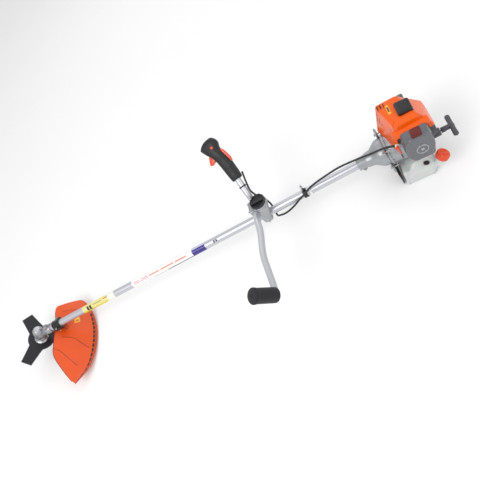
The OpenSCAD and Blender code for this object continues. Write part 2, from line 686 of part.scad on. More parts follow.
module engine_bearings() color(steel) at_engine() {
    translate([-46.8, 0, 0]) rotate([0, 90, 0]) bearing(6, 14, 8);
    translate([case_z0 + 2.5, 0, 0]) rotate([0, 90, 0]) bearing(journal_r, bearing_r, 9);
    translate([case_z0 + case_len - 11.5, 0, 0]) rotate([0, 90, 0]) bearing(journal_r, bearing_r, 9);
}
fin_step = 7;
module cylinder_fins() for (i = [0:9]) {
    w = i < 7 ? 33 : 29;
    d = i < 7 ? 41 : 34;
    translate([crank_x - w, -d, deck_z + 8 + i * fin_step]) cube([2 * w, 2 * d, 2.4]);
}
module cylinder_barrel() {
    translate([crank_x, 0, deck_z + seat]) cylinder(r = bore_r + 6, h = 76);
    translate([crank_x - 30, -34, deck_z + seat]) cube([60, 68, 5]);
    translate([crank_x, 0, 60]) rotate([90, 0, 0]) cylinder(r = 14, h = 43);
    translate([crank_x, 0, 66]) rotate([-90, 0, 0]) cylinder(r = 14, h = 43);
}
plug_tilt = 32;
module at_plug() at_engine() translate([crank_x, -3, 98]) rotate([0, plug_tilt, 0]) children();
module cylinder_block() color(cast) at_engine() difference() {
    union() {
        cylinder_barrel();
        cylinder_fins();
    }
    translate([crank_x, 0, 0]) cylinder(r = bore_r, h = 96);
    translate([crank_x, -20, 60]) rotate([90, 0, 0]) cylinder(r = 8, h = 40);
    translate([crank_x, 20, 66]) rotate([-90, 0, 0]) cylinder(r = 9, h = 40);
    translate([crank_x, -3, 98]) rotate([0, plug_tilt, 0]) {
        translate([0, 0, -20]) cylinder(r = 7 + gap, h = 60);
        translate([0, 0, 17]) cylinder(r = 13, h = 60);
    }
}
module piston() color(silver) at_engine() translate([crank_x, 0, tdc_z - piston_h]) difference() {
    cylinder(r = bore_r - fit - 0.05, h = piston_h);
    translate([0, 0, -1]) cylinder(r = bore_r - 4, h = piston_h - 4);
    for (z = [27, 31]) translate([0, 0, z]) difference() {
        cylinder(r = bore_r + 1, h = 1.2);
        translate([0, 0, -1]) cylinder(r = bore_r - 1.5, h = 4);
    }
    translate([0, 0, 18]) rotate([0, 90, 0]) cylinder(r = 5, h = 60, center = true);
}
module connecting_rod() color(steel) at_engine() {
    wrist = tdc_z - piston_h + 18;
    difference() {
        union() {
            translate([crank_x - 4, 0, stroke / 2]) rotate([0, 90, 0]) cylinder(r = 8, h = 8);
            translate([crank_x - 4, 0, wrist]) rotate([0, 90, 0]) cylinder(r = 7.5, h = 8);
            translate([crank_x - 2.5, -5, stroke / 2]) cube([5, 10, wrist - stroke / 2]);
        }
        translate([crank_x - 9, 0, stroke / 2]) rotate([0, 90, 0]) cylinder(r = 5 + fit, h = 20);
        translate([crank_x - 9, 0, wrist]) rotate([0, 90, 0]) cylinder(r = 5, h = 20);
    }
    translate([crank_x - web_gap / 2 + gap, 0, stroke / 2]) rotate([0, 90, 0])
        cylinder(r = 5, h = web_gap - 2 * gap);
    translate([crank_x - 17, 0, wrist]) rotate([0, 90, 0]) cylinder(r = 4.95, h = 34);
}
module spark_plug() color(white) at_plug() {
    translate([0, 0, 2]) cylinder(r = 7 - seat, h = 15.5);
    translate([0, 0, 17.5]) cylinder(r = 9.5, h = 8, $fn = 6);
    translate([0, 0, 25]) cylinder(r = 6, h = 16);
}
module plug_cover() color(black) at_engine() difference() {
    hull() for (x = [88, 120]) for (y = [-22, 14]) translate([x, y, cover_top - 20])
        cylinder(r = 6, h = 24 - (x - 88) * 0.18, $fn = 24);
    at_plug_hole();
}
module at_plug_hole() translate([crank_x, -3, 98]) rotate([0, plug_tilt, 0])
    cylinder(r = 11.5, h = 46);

// cover: lower outline, and upper outline with each corner's drop below the top
cover_low = [[4, 50], [34, -60], [150, -62], [158, -40], [158, 40], [150, 52]];
cover_high = [[34, 46, 0], [54, -52, 10], [134, -54, 18], [146, -26, 34], [128, 26, 36], [96, 48, 2]];
module cover_block(grow, top) hull() {
    for (p = cover_low) translate([p[0], p[1], 26]) sphere(r = 6 - grow, $fn = 16);
    for (p = [[4, 50], [34, -60], [156, -60], [154, 50]])
        translate([p[0] + 4, p[1], 64]) sphere(r = 6 - grow, $fn = 16);
    for (p = cover_high) translate([p[0], p[1], top - 7 - p[2]]) sphere(r = 7 - grow, $fn = 16);
}
module engine_cover() color(orange) at_engine() difference() {
    cover_block(0, cover_top);
    cover_block(cover_wall, cover_top);
    translate([-40, -90, -40]) cube([260, 180, 70]);
    translate([-40, -90, 20]) cube([84, 58, 66]);
    translate([42, -90, 20]) cube([112, 40, 96]);
    translate([30, 30, 22]) cube([94, 50, 88]);
    translate([-2, -70, 20]) cube([38, 140, 60]);
    translate([100, -70, 20]) cube([90, 140, 52]);
    translate([80, -30, cover_top - 24]) cube([48, 52, 40]);
    for (i = [0:5]) translate([14 + i * 2, -34 + i * 13, 76]) rotate([0, 14, 0])
        cube([40, 5, 44], center = true);
    for (x = [44, 54]) translate([x, 14, cover_top - 12]) cube([5, 26, 30]);
}
module muffler() color(steel) at_engine() difference() {
    union() {
        hull() for (x = [46, 108]) for (z = [38, 94]) translate([x, 50, z]) rotate([-90, 0, 0])
            cylinder(r = 8, h = 34);
        translate([crank_x - 14, 43.2, 52]) cube([28, 10, 28]);
        translate([96, 62, 22]) cylinder(r = 7, h = 16);
    }
    hull() for (x = [46, 108]) for (z = [38, 94]) translate([x, 52, z]) rotate([-90, 0, 0])
        cylinder(r = 6.5, h = 30);
    translate([crank_x, 40, 66]) rotate([-90, 0, 0]) cylinder(r = 9, h = 20);
    translate([96, 62, 20]) cylinder(r = 5.5, h = 20);
}
choke_x = 40.6;
primer_x = 74;
module carburettor() color(silver) at_engine() difference() {
    union() {
        translate([56, -62, 42]) cube([30, 18.8, 34]);
        translate([crank_x, -43.2, 60]) rotate([90, 0, 0]) cylinder(r = 13, h = 24.6);
        translate([44, -64, 66]) cube([13, 14, 6]);
        translate([35.4, -62, 52]) cube([21, 6, 12]);
        translate([primer_x, -53, 34]) cylinder(r = 10.5, h = 9);
    }
    translate([crank_x, -40, 60]) rotate([90, 0, 0]) cylinder(r = 8, h = 40);
    translate([crank_x, -53, 50]) cylinder(r = 6 + fit, h = 40);
    translate([choke_x, -50, 58]) rotate([90, 0, 0]) cylinder(r = 2.5 + fit, h = 20);
    translate([primer_x, -53, 33]) cylinder(r = 8 + gap, h = 9);
}
// the barrel valve turns in the carburettor, under a lever that the cable pulls
module throttle_barrel() color(steel) at_engine() difference() {
    union() {
        translate([crank_x, -53, 50.5]) cylinder(r = 6, h = 28);
        hull() for (x = [0, -12]) translate([crank_x + x, -53, 77]) cylinder(r = 5, h = 2.6, $fn = 24);
    }
    translate([crank_x, -40, 60]) rotate([90, 0, 0]) cylinder(r = 5, h = 40);
}
module choke_lever() color(orange) at_engine() difference() {
    union() {
        hull() for (z = [58, 80]) translate([choke_x, filter_y - 6, z]) rotate([90, 0, 0])
            cylinder(r = z < 60 ? 5.5 : 4.5, h = 6);
        translate([choke_x, filter_y + 12, 58]) rotate([90, 0, 0]) cylinder(r = 2.5, h = 20);
    }
    translate([choke_x, filter_y - 11, 80]) rotate([90, 0, 0]) cylinder(r = 2, h = 10, $fn = 20);
}
module primer_bulb() color(white) at_engine() translate([primer_x, -53, 30]) {
    sphere(r = 8, $fn = 32);
    cylinder(r = 8, h = 7.6);
}

// air filter: base plate and a chunky cover with a notch in its top edge
filter_face = [[76, 116], [136, 110], [139, 64], [125, 12], [66, 17], [54, 46], [62, 100]];
filter_back = [[62, 119], [138, 115], [141, 50], [128, -6], [62, -2], [50, 30], [54, 90]];
filter_depth = 38;
module filter_block(grow) hull() {
    for (p = filter_back) translate([p[0], filter_y - 3, p[1]]) sphere(r = 4 - grow, $fn = 16);
    for (p = filter_face) translate([p[0], filter_y - filter_depth + 4, p[1] - 3])
        sphere(r = 4 - grow, $fn = 16);
}
module air_filter() color(cast) at_engine() {
    difference() {
        filter_block(0);
        intersection() {
            filter_block(2.5);
            translate([0, filter_y - 60, -20]) cube([200, 57, 200]);
        }
        translate([40, filter_y, -20]) cube([120, 10, 160]);
        translate([88, filter_y - 22, 92]) cube([26, 23, 40]);
        translate([crank_x, filter_y - 4, 60]) rotate([-90, 0, 0]) cylinder(r = 8, h = 10);
    }
    color(black) translate([64, filter_y - 30, 20]) cube([58, 20, 66]);
}

// fuel tank: a bottle with a slanted shoulder, cut back under the fan case and the recoil starter
module tank_block(grow) difference() {
    hull() {
        for (p = [[8, -71], [102, -75], [104, 50], [8, 50]])
            translate([p[0], p[1], tank_z + grow]) cylinder(r = 6 - grow, h = 4, $fn = 24);
        for (p = [[10, -74], [125, -81], [125, 52], [10, 52]])
            translate([p[0], p[1], tank_z + 46]) sphere(r = 8 - grow, $fn = 16);
        for (p = [[22, -58], [112, -58], [112, 46], [20, 46]])
            translate([p[0], p[1], -51]) sphere(r = 8 - grow, $fn = 16);
    }
    translate([-20, -100, -66 - grow]) cube([62 + grow, 200, 80]);
    rod(recoil_x - 2 - grow, recoil_r + 2 + grow, 60);
}
neck_tilt = 40;
neck_r = fuel_cap_d / 2 - 7;
module at_neck() at_engine() translate([127, -80, -62]) rotate([0, neck_tilt, 0]) children();
module fuel_tank() color(white) difference() {
    union() {
        at_engine() tank_block(0);
        at_neck() translate([0, 0, -12]) cylinder(r = neck_r, h = 34);
        at_engine() translate([88, -72, -58]) rotate([40, 0, 0]) cylinder(r = 13, h = 5);
    }
    at_engine() tank_block(tank_wall);
    at_neck() translate([0, 0, -11]) cylinder(r = neck_r - 3, h = 40);
}
module fuel_cap() color(orange) at_neck() difference() {
    translate([0, 0, 10]) cylinder(r = fuel_cap_d / 2, h = 18);
    translate([0, 0, 9]) cylinder(r = neck_r + gap, h = 14);
    for (a = [0:20:340]) rotate([0, 0, a]) translate([fuel_cap_d / 2 + 1.2, 0, 9])
        cylinder(r = 2, h = 30, $fn = 16);
}
// the stand: a strap down the tank's front and a plate under the fan case and the crankcase
module tank_stand() color(black) at_engine() {
    translate([-2.5, -60, tank_z + 3]) cube([4, 104, -tank_z - 66]);
    translate([-2.5, -44, -64]) cube([42, 88, 3.5]);
    translate([35.5, -44, -64]) cube([4, 88, 64 - case_half - seat]);
    translate([35.5, -44, -case_half - 4 - seat]) cube([case_z0 + case_len - 35.5, 88, 4]);
}

// ---------------------------------------------------------------- recoil starter

module recoil_starter() color(cast) at_engine() difference() {
    union() {
        translate([recoil_x, 0, 0]) rotate([0, 90, 0]) rotate_extrude($fn = 72) polygon([
            [0, 0], [recoil_r, 0], [recoil_r, 16], [recoil_r - 8, 30], [34, 46], [0, 50]]);
        translate([recoil_x + 20, pull_y, pull_z]) rotate([0, 90, 0]) cylinder(r = 13, h = 36);
    }
    translate([recoil_x - 1, 0, 0]) rotate([0, 90, 0]) rotate_extrude($fn = 72) polygon([
        [0, 0], [recoil_r - 4, 0], [recoil_r - 4, 15], [recoil_r - 12, 28], [32, 42], [0, 44]]);
    translate([recoil_x, pull_y, pull_z]) rotate([0, 90, 0]) cylinder(r = 4, h = 80);
    for (i = [0:6]) rotate([i * 30 + 180, 0, 0]) translate([recoil_x + 8, -2.5, recoil_r - 20])
        cube([40, 5, 30]);
}
module recoil_pulley() color(black) at_engine() difference() {
    translate([recoil_x + 12, 0, 0]) rotate([0, 90, 0]) rotate_extrude() polygon([
        [9, 0], [30, 0], [30, 2], [27, 4.5], [27, 5.5], [30, 8], [30, 10], [9, 10]]);
    rod(recoil_x, 6.5, 40);
}
module starter_handle() color(steel) at_engine() {
    translate([0, pull_y, pull_z]) {
        hull() for (s = [-1, 1]) for (x = [196, 202]) rotate([-7, 0, 0])
            translate([x, s * (pull_len / 2 - 7), 0]) sphere(r = 7, $fn = 24);
        rod(recoil_x + 58, 9, 200 - recoil_x - 58);
        rod(recoil_x + 30, 2.5, 200 - recoil_x - 30);
    }
}

gear_case();
pinion_gear();
crown_gear();
output_shaft();
head_bearings();
head_screws();
upper_flange();
blade();
lower_flange();
blade_nut();
guard_shield();
guard_clamp();
guard_screws();
line_cutter();
drive_tube();
shaft_bushes();
drive_shaft();
harness_clamp();
harness_ring();
bracket_body();
bracket_base();
bar_cap();
bracket_screws();
bracket_knob();
left_bar();
right_bar();
left_grip();
throttle_grip();
throttle_trigger();
safety_lever();
stop_switch();
throttle_cable();
cable_ties();
clutch_housing();
housing_screws();
clutch_drum();
clutch_shoes();
flywheel();
fan_case();
crankcase();
crankshaft();
engine_bearings();
cylinder_block();  // cylinder
piston();
connecting_rod();
spark_plug();
plug_cover();
engine_cover();
muffler();
carburettor();
throttle_barrel();
choke_lever();
primer_bulb();
air_filter();
fuel_tank();
tank_stand();
fuel_cap();
recoil_starter();
recoil_pulley();
starter_handle();
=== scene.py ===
"""Builds the looks of a petrol brush cutter round its packed frame."""
import json
import math

import bmesh
import bpy
import numpy as np
from mathutils import Euler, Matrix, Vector


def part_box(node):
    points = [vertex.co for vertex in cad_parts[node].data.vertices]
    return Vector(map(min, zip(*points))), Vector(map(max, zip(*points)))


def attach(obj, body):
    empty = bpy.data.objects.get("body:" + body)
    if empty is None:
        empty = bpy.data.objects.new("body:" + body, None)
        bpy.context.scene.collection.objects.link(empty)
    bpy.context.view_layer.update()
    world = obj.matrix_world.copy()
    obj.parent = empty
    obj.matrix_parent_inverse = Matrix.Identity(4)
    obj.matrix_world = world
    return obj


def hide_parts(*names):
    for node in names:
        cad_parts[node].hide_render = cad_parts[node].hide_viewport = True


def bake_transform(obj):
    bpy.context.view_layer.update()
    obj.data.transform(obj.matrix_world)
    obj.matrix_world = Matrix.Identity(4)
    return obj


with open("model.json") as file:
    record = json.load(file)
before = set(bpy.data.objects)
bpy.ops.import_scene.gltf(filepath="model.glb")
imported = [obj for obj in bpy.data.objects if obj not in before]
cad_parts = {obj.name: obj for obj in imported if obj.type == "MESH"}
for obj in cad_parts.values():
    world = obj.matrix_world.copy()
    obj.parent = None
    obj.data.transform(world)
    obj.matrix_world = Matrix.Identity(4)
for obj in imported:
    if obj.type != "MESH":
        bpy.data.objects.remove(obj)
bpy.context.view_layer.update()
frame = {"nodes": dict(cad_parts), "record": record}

bl_info = {
    "name": "Brush Cutter Looks",
    "version": (1, 0, 0),
    "blender": (4, 5, 0),
    "location": "View3D > Sidebar > Brush Cutter",
    "description": "Shells, tubes, grips and finishes of a petrol brush cutter",
    "category": "Add Mesh",
}

MM = 0.001
TUBE_LOW, TUBE_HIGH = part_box("drive_tube")
# the start of the drive tube's own frame: 23 mm inside its lower end, on its axis
TUBE_START = np.array([TUBE_LOW.x + 23 * MM, (TUBE_LOW.y + TUBE_HIGH.y) / 2, (TUBE_LOW.z + TUBE_HIGH.z) / 2])
ENGINE_X = 1497
TUBE_R = 14.0
HEAD_X, HEAD_TILT, BLADE_Z = -69.0, 35.0, -36.5
BAR_X, BAR_H, BRACKET_X = 1041.0, 54.0, 1066.0

# the studio: places in metres, angles in degrees
CAMERA_PLACE = (0.8535, -1.0371, 1.5041)
CAMERA_ANGLES = (28.999, 32.735, -11.339)
SENSOR_WIDTH = 36.0
FLOOR_HALF = 14.0
FLOOR_DROP = 0.0005
LAMPS_AIM = (0, 0, 0.15)
# name, place, share of the main lamp's power, side of the square lamp
LAMPS = (
    ("key_light", (-0.9, -1.6, 2.6), 1.0, 1.8),
    ("fill_light", (2.4, -0.6, 2.0), 0.4, 1.6),
    ("back_light", (0.3, 2.4, 2.0), 0.25, 2.0),
)


# ------------------------------------------------------------------ places

def turn(x=0.0, y=0.0, z=0.0):
    """The matrix that turns about X, then Y, then Z, in degrees."""
    return np.array(Euler([math.radians(a) for a in (x, y, z)], "XYZ").to_matrix())


def placed(points, at=(0, 0, 0), by=None):
    """Points in mm in a piece's own frame, turned and moved into the tube's frame, still in mm."""
    points = np.asarray(points, float)
    return (points if by is None else points @ by.T) + np.asarray(at, float)


def on_tube(points):
    """From the tube's frame in mm to the model's frame in metres."""
    return np.asarray(points, float) * MM + TUBE_START


def on_engine(points):
    """From the engine's frame, at the tube's upper end, in mm to the model's frame in metres."""
    return on_tube(placed(points, (ENGINE_X, 0, 0)))


def on_head(points):
    """From the gear head's tilted frame in mm to the model's frame in metres."""
    return on_tube(placed(points, (HEAD_X, 0, 0), turn(y=HEAD_TILT)))


def on_throttle(points):
    """From the throttle grip's frame in mm to the model's frame in metres."""
    return on_tube(placed(points, (BAR_X - 10, 99, BAR_H + 65), turn(-48, -12, 0)))


# ------------------------------------------------------------------ shapes

def eased(points, radius, steps=5):
    """A closed outline with each corner swapped for a curve: a corner c between trimmed points a and b
    becomes (1-t)^2 a + 2t(1-t) c + t^2 b."""
    p = np.asarray(points, float)
    radius = np.broadcast_to(np.asarray(radius, float), len(p))[:, None]
    before, after = np.roll(p, 1, 0) - p, np.roll(p, -1, 0) - p
    lb, la = (np.linalg.norm(v, axis=1, keepdims=True) + 1e-9 for v in (before, after))
    a = p + before / lb * np.minimum(radius, 0.49 * lb)
    b = p + after / la * np.minimum(radius, 0.49 * la)
    t = np.linspace(0, 1, steps)[None, :, None]
    curve = (1 - t) ** 2 * a[:, None] + 2 * t * (1 - t) * p[:, None] + t ** 2 * b[:, None]
    out = curve.reshape(-1, p.shape[1])
    keep = np.r_[True, np.linalg.norm(np.diff(out, axis=0), axis=1) > 1e-6]
    return out[keep]


def bend(points, t):
    """A smooth curve through points (Catmull-Rom), read at places t from 0 to the last index."""
    p = np.asarray(points, float)
    n = len(p) - 1
    t = np.asarray(t, float)
    i = np.minimum(np.floor(t).astype(int), n - 1)
    u = (t - i)[..., None]
    a, b, c, d = p[np.maximum(i - 1, 0)], p[i], p[i + 1], p[np.minimum(i + 2, n)]
    return 0.5 * (2 * b + (c - a) * u + (2 * a - 5 * b + 4 * c - d) * u ** 2
                  + (3 * b - a - 3 * c + d) * u ** 3)


def turned_round(profile, sides=64, ripple=None):
    """A profile of (radius, place along Z) carried round Z; ripple(angle, along) adds to the radius."""
    profile = np.asarray(profile, float)
    angle = np.linspace(0, 2 * np.pi, sides, endpoint=False)[None, :]
    r, z = profile[:, 0][:, None], profile[:, 1][:, None]
    if ripple is not None:
        r = r + ripple(angle, z) * (r > 0)
    return np.stack([r * np.cos(angle), r * np.sin(angle), z + 0 * angle], -1)


def along_x(grid):
    """A shape made along Z laid along +X."""
    return np.stack([grid[..., 2], grid[..., 1], -grid[..., 0]], -1)


def swept(points, radius, sides=24, rings=96):
    """A circle carried at right angles along a smooth curve; radius may be a function of the share of the way."""
    n = len(points) - 1
    path = bend(points, np.linspace(0, n, rings + 1))
    along = np.gradient(path, axis=0)
    along /= np.linalg.norm(along, axis=1, keepdims=True)
    side = np.cross(along, [0.2, 0.1, 1.0])
    side /= np.linalg.norm(side, axis=1, keepdims=True)
    up = np.cross(along, side)
    r = radius(np.linspace(0, 1, rings + 1)) if callable(radius) else np.full(rings + 1, float(radius))
    angle = np.linspace(0, 2 * np.pi, sides, endpoint=False)[None, :, None]
    return path[:, None] + r[:, None, None] * (np.cos(angle) * side[:, None] + np.sin(angle) * up[:, None])


def inset(outline, depth):
    """A closed outline moved inwards along its own normals."""
    ahead = np.roll(outline, -1, 0) - np.roll(outline, 1, 0)
    normal = np.stack([-ahead[:, 1], ahead[:, 0]], -1)
    normal /= np.linalg.norm(normal, axis=1, keepdims=True) + 1e-9
    area = np.sum(outline[:, 0] * np.roll(outline[:, 1], -1) - outline[:, 1] * np.roll(outline[:, 0], -1))
    return outline + normal * depth * np.sign(area)


def drawn_in(outline, share):
    """An outline scaled about its middle, for wide steps inwards that an inset would fold."""
    middle = outline.mean(0)
    return middle + (outline - middle) * share


def slab(outline, low, high, edge=1.0, steps=4):
    """An outline carried along Z from low to high, its two rims rounded by a quarter circle of radius edge."""
    t = np.linspace(0, np.pi / 2, steps)
    rim = [(edge * (1 - np.sin(a)), low + edge * (1 - np.cos(a))) for a in t]
    rim += [(edge * (1 - np.sin(a)), high - edge * (1 - np.cos(a))) for a in t[::-1]]
    return np.array([np.c_[inset(np.asarray(outline, float), d), np.full(len(outline), z)] for d, z in rim])


def block(low, high, edge=1.0, corner=None, steps=4):
    """A box whose twelve edges are rounded."""
    (x0, y0, z0), (x1, y1, z1) = low, high
    outline = eased([(x0, y0), (x1, y0), (x1, y1), (x0, y1)], corner or edge * 1.5, 5)
    return slab(outline, z0, z1, edge, steps)


def ring_of(radius, thickness, sides=48, section=16, flat=1.0):
    """A ring round Z with a round section, squeezed along Z by flat."""
    a = np.linspace(0, 2 * np.pi, section + 1)
    return turned_round(np.c_[radius + thickness * np.cos(a), thickness * flat * np.sin(a)], sides)


# ------------------------------------------------------------------ meshes

def faces_of(grid, start, wrap, closed):
    """Quads between neighbouring rows and columns of a grid, and a face over each closed end."""
    rows, cols, _ = grid.shape
    index = start + np.arange(rows * cols).reshape(rows, cols)
    right = np.roll(index, -1, 1)
    if wrap:
        quads = np.stack([index[:-1], right[:-1], right[1:], index[1:]], -1).reshape(-1, 4)
    else:
        quads = np.stack([index[:-1, :-1], index[:-1, 1:], index[1:, 1:], index[1:, :-1]], -1).reshape(-1, 4)
    faces = quads.tolist()
    if closed[0]:
        faces.append(index[0][::-1].tolist())
    if closed[1]:
        faces.append(index[-1].tolist())
    return faces


def piece(name, sheets, finish, body="frame", nodes=(), sharp=35):
    """Makes one mesh from grids of points in metres. Each sheet is (grid, wraps round, (first end, last end)
    closed). UV runs round the columns and along the rows."""
    points, faces, where = [], [], []
    for grid, wrap, closed in sheets:
        rows, cols, _ = grid.shape
        faces += faces_of(grid, sum(len(p) for p in points), wrap, closed)
        points.append(grid.reshape(-1, 3))
        u, v = np.meshgrid(np.arange(cols) / max(cols - 1, 1), np.arange(rows) / max(rows - 1, 1))
        where.append(np.stack([u, v], -1).reshape(-1, 2))
    mesh = bpy.data.meshes.new(name)
    mesh.from_pydata(np.concatenate(points).tolist(), [], faces)
    layer = mesh.uv_layers.new(name="surface")
    corner = np.zeros(len(mesh.loops), np.int32)
    mesh.loops.foreach_get("vertex_index", corner)
    layer.data.foreach_set("uv", np.concatenate(where)[corner].astype(np.float32).ravel())
    work = bmesh.new()
    work.from_mesh(mesh)
    bmesh.ops.remove_doubles(work, verts=work.verts, dist=2e-6)
    bmesh.ops.dissolve_degenerate(work, edges=work.edges, dist=1e-7)
    bmesh.ops.recalc_face_normals(work, faces=work.faces)
    work.to_mesh(mesh)
    work.free()
    mesh.polygons.foreach_set("use_smooth", np.ones(len(mesh.polygons), bool))
    mesh.set_sharp_from_angle(angle=math.radians(sharp))
    obj = bpy.data.objects.new(name, mesh)
    bpy.context.scene.collection.objects.link(obj)
    mesh.materials.append(finish)
    if body:
        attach(obj, body)
    if nodes:
        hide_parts(*nodes)
    return obj


def solid(grid):
    """A sheet for piece() that wraps round and has both ends closed."""
    return (grid, True, (True, True))


def hoop(grid):
    """A sheet for piece() that wraps round and has both ends open."""
    return (grid, True, (False, False))


# ------------------------------------------------------------------ finishes

class Recipe:
    """A material with a Principled shader, and short ways to add and join nodes."""

    def __init__(self, name):
        self.material = bpy.data.materials.new(name)
        self.material.use_nodes = True
        self.tree = self.material.node_tree
        self.shader = self.tree.nodes["Principled BSDF"]
        self.object = self.add("ShaderNodeTexCoord").outputs["Object"]

    def add(self, kind, **inputs):
        """A node of one kind; keys name its settings or its inputs."""
        node = self.tree.nodes.new(kind)
        for key, value in inputs.items():
            if hasattr(node, key):
                setattr(node, key, value)
            else:
                node.inputs[key.replace("_", " ")].default_value = value
        return node

    def join(self, out, into):
        """Links an output into an input."""
        self.tree.links.new(out, into)
        return into.node

    def spots(self, scale, detail=3.0, rough=0.55, stretch=(1, 1, 1)):
        """Cloudy noise, stretched by a mapping, from 0 to 1."""
        mapping = self.add("ShaderNodeMapping")
        mapping.inputs["Scale"].default_value = stretch
        self.join(self.object, mapping.inputs["Vector"])
        noise = self.add("ShaderNodeTexNoise", Scale=scale, Detail=detail, Roughness=rough)
        self.join(mapping.outputs[0], noise.inputs["Vector"])
        return noise.outputs[0]

    def span(self, value, low, high, start=0.3, end=0.7):
        """Value carried from start..end to low..high."""
        node = self.add("ShaderNodeMapRange")
        for key, number in (("From Min", start), ("From Max", end), ("To Min", low), ("To Max", high)):
            node.inputs[key].default_value = number
        self.join(value, node.inputs["Value"])
        return node.outputs[0]

    def mix(self, share, a, b):
        """Colour a where share is 0, b where it is 1; each may be a colour or a socket."""
        node = self.add("ShaderNodeMix", data_type="RGBA")
        self.join(share, node.inputs[0])
        for socket, colour in ((node.inputs[6], a), (node.inputs[7], b)):
            if isinstance(colour, bpy.types.NodeSocket):
                self.join(colour, socket)
            else:
                socket.default_value = (*colour[:3], 1.0)
        return node.outputs[2]

    def sum(self, kind, a, b=0.0):
        """One step of arithmetic; a and b may each be a number or a socket."""
        node = self.add("ShaderNodeMath", operation=kind)
        for socket, value in zip(node.inputs, (a, b)):
            if isinstance(value, bpy.types.NodeSocket):
                self.join(value, socket)
            else:
                socket.default_value = value
        return node.outputs[0]

    def inside(self, value, low, high, soft=0.001):
        """1 where value is between low and high, with a soft edge."""
        up = self.span(value, 0, 1, low - soft, low + soft)
        down = self.span(value, 1, 0, high - soft, high + soft)
        return self.sum("MULTIPLY", up, down)

    def axes(self, source=None):
        """The X, Y and Z of a vector, or of the piece's own coordinates."""
        node = self.add("ShaderNodeSeparateXYZ")
        self.join(source or self.object, node.inputs[0])
        return node.outputs

    def relief(self, height, strength, distance):
        """A bump of the given height on the surface."""
        node = self.add("ShaderNodeBump", Strength=strength, Distance=distance)
        self.join(height, node.inputs["Height"])
        self.join(node.outputs[0], self.shader.inputs["Normal"])

    def set(self, **inputs):
        """Numbers set on the shader's own inputs."""
        for key, value in inputs.items():
            self.shader.inputs[key.replace("_", " ")].default_value = value
        return self

    def colour(self, socket):
        self.join(socket, self.shader.inputs["Base Color"])

    def roughness(self, socket):
        self.join(socket, self.shader.inputs["Roughness"])


def shade(colour, by):
    """A colour multiplied by a number and kept between 0 and 1."""
    return tuple(min(1.0, max(0.0, c * by)) for c in colour[:3])


def plain_finish(name, colour, rough=0.4, metal=0.0, grain=900.0, bump=0.15, mottle=0.12, **extra):
    """Large soft clouds vary the colour, medium ones the gloss, and a fine grain gives the relief."""
    clouds, spread, depth = 22.0, 0.08, 0.0002
    r = Recipe(name)
    r.set(Metallic=metal, **extra)
    r.colour(r.mix(r.spots(clouds), shade(colour, 1 - mottle), shade(colour, 1 + mottle * 0.6)))
    r.roughness(r.span(r.spots(clouds * 5), rough - spread, rough + spread))
    r.relief(r.spots(grain, 2.0), bump, depth)
    return r.material


def anodised_finish(name, colour):
    """Fine lines drawn along X on satin aluminium, with a faint cool tint that comes and goes."""
    r = Recipe(name)
    r.set(Metallic=0.7)
    lines = r.spots(40, 4.0, 0.6, (0.15, 18, 18))
    r.colour(r.mix(lines, shade(colour, 0.92), shade(colour, 1.05)))
    r.roughness(r.span(lines, 0.3, 0.42))
    r.relief(lines, 0.05, 0.0001)
    return r.material


def cast_finish(name, colour, rough=0.42):
    """Die-cast alloy: pebbled skin, a little darker in its pits, with a soft metal gloss."""
    r = Recipe(name)
    r.set(Metallic=0.85)
    pits = r.spots(420, 3.0, 0.6)
    clouds = r.mix(r.spots(14), shade(colour, 0.88), shade(colour, 1.08))
    r.colour(r.mix(r.span(pits, 0.35, 0.0, 0.25, 0.5), clouds, shade(colour, 0.55)))
    r.roughness(r.span(r.spots(90), rough - 0.08, rough + 0.12))
    r.relief(pits, 0.22, 0.0004)
    return r.material


def guard_finish(name, colour):
    """Moulded plastic with a dark slotted band inside its outer rim; the map's U runs across the guard,
    over its top from the hub side to the rim and back underneath, and V along it."""
    r = Recipe(name)
    uv = r.add("ShaderNodeUVMap", uv_map="surface").outputs[0]
    u, v, _ = r.axes(uv)
    clouds = r.mix(r.spots(16), shade(colour, 0.86), shade(colour, 1.06))
    fade = r.mix(r.span(r.spots(5), 0, 0.5), clouds, shade(colour, 1.12))
    # painted shade: a near-black toothed band stands in for the shade inside the guard's slots
    band = r.inside(u, 0.524, 0.552, 0.002)
    teeth = r.span(r.sum("SINE", r.sum("MULTIPLY", v, 120.0)), 0.3, 1, -0.8, -0.4)
    outer = r.inside(u, 0.552, 0.62, 0.002)
    reach = r.inside(v, 0.2, 0.965, 0.01)
    dark = r.sum("MULTIPLY", r.sum("MULTIPLY", band, teeth), reach)
    # painted shade: the strip round the outer rim and its lip is darkened to 0.72 of the orange
    rim = r.mix(outer, fade, shade(colour, 0.72))
    r.colour(r.mix(dark, rim, (0.03, 0.01, 0.008)))
    r.roughness(r.span(r.spots(70), 0.3, 0.46))
    r.relief(r.spots(700, 2.0), 0.12, 0.0003)
    r.set(Coat_Weight=0.12, Coat_Roughness=0.3)
    return r.material


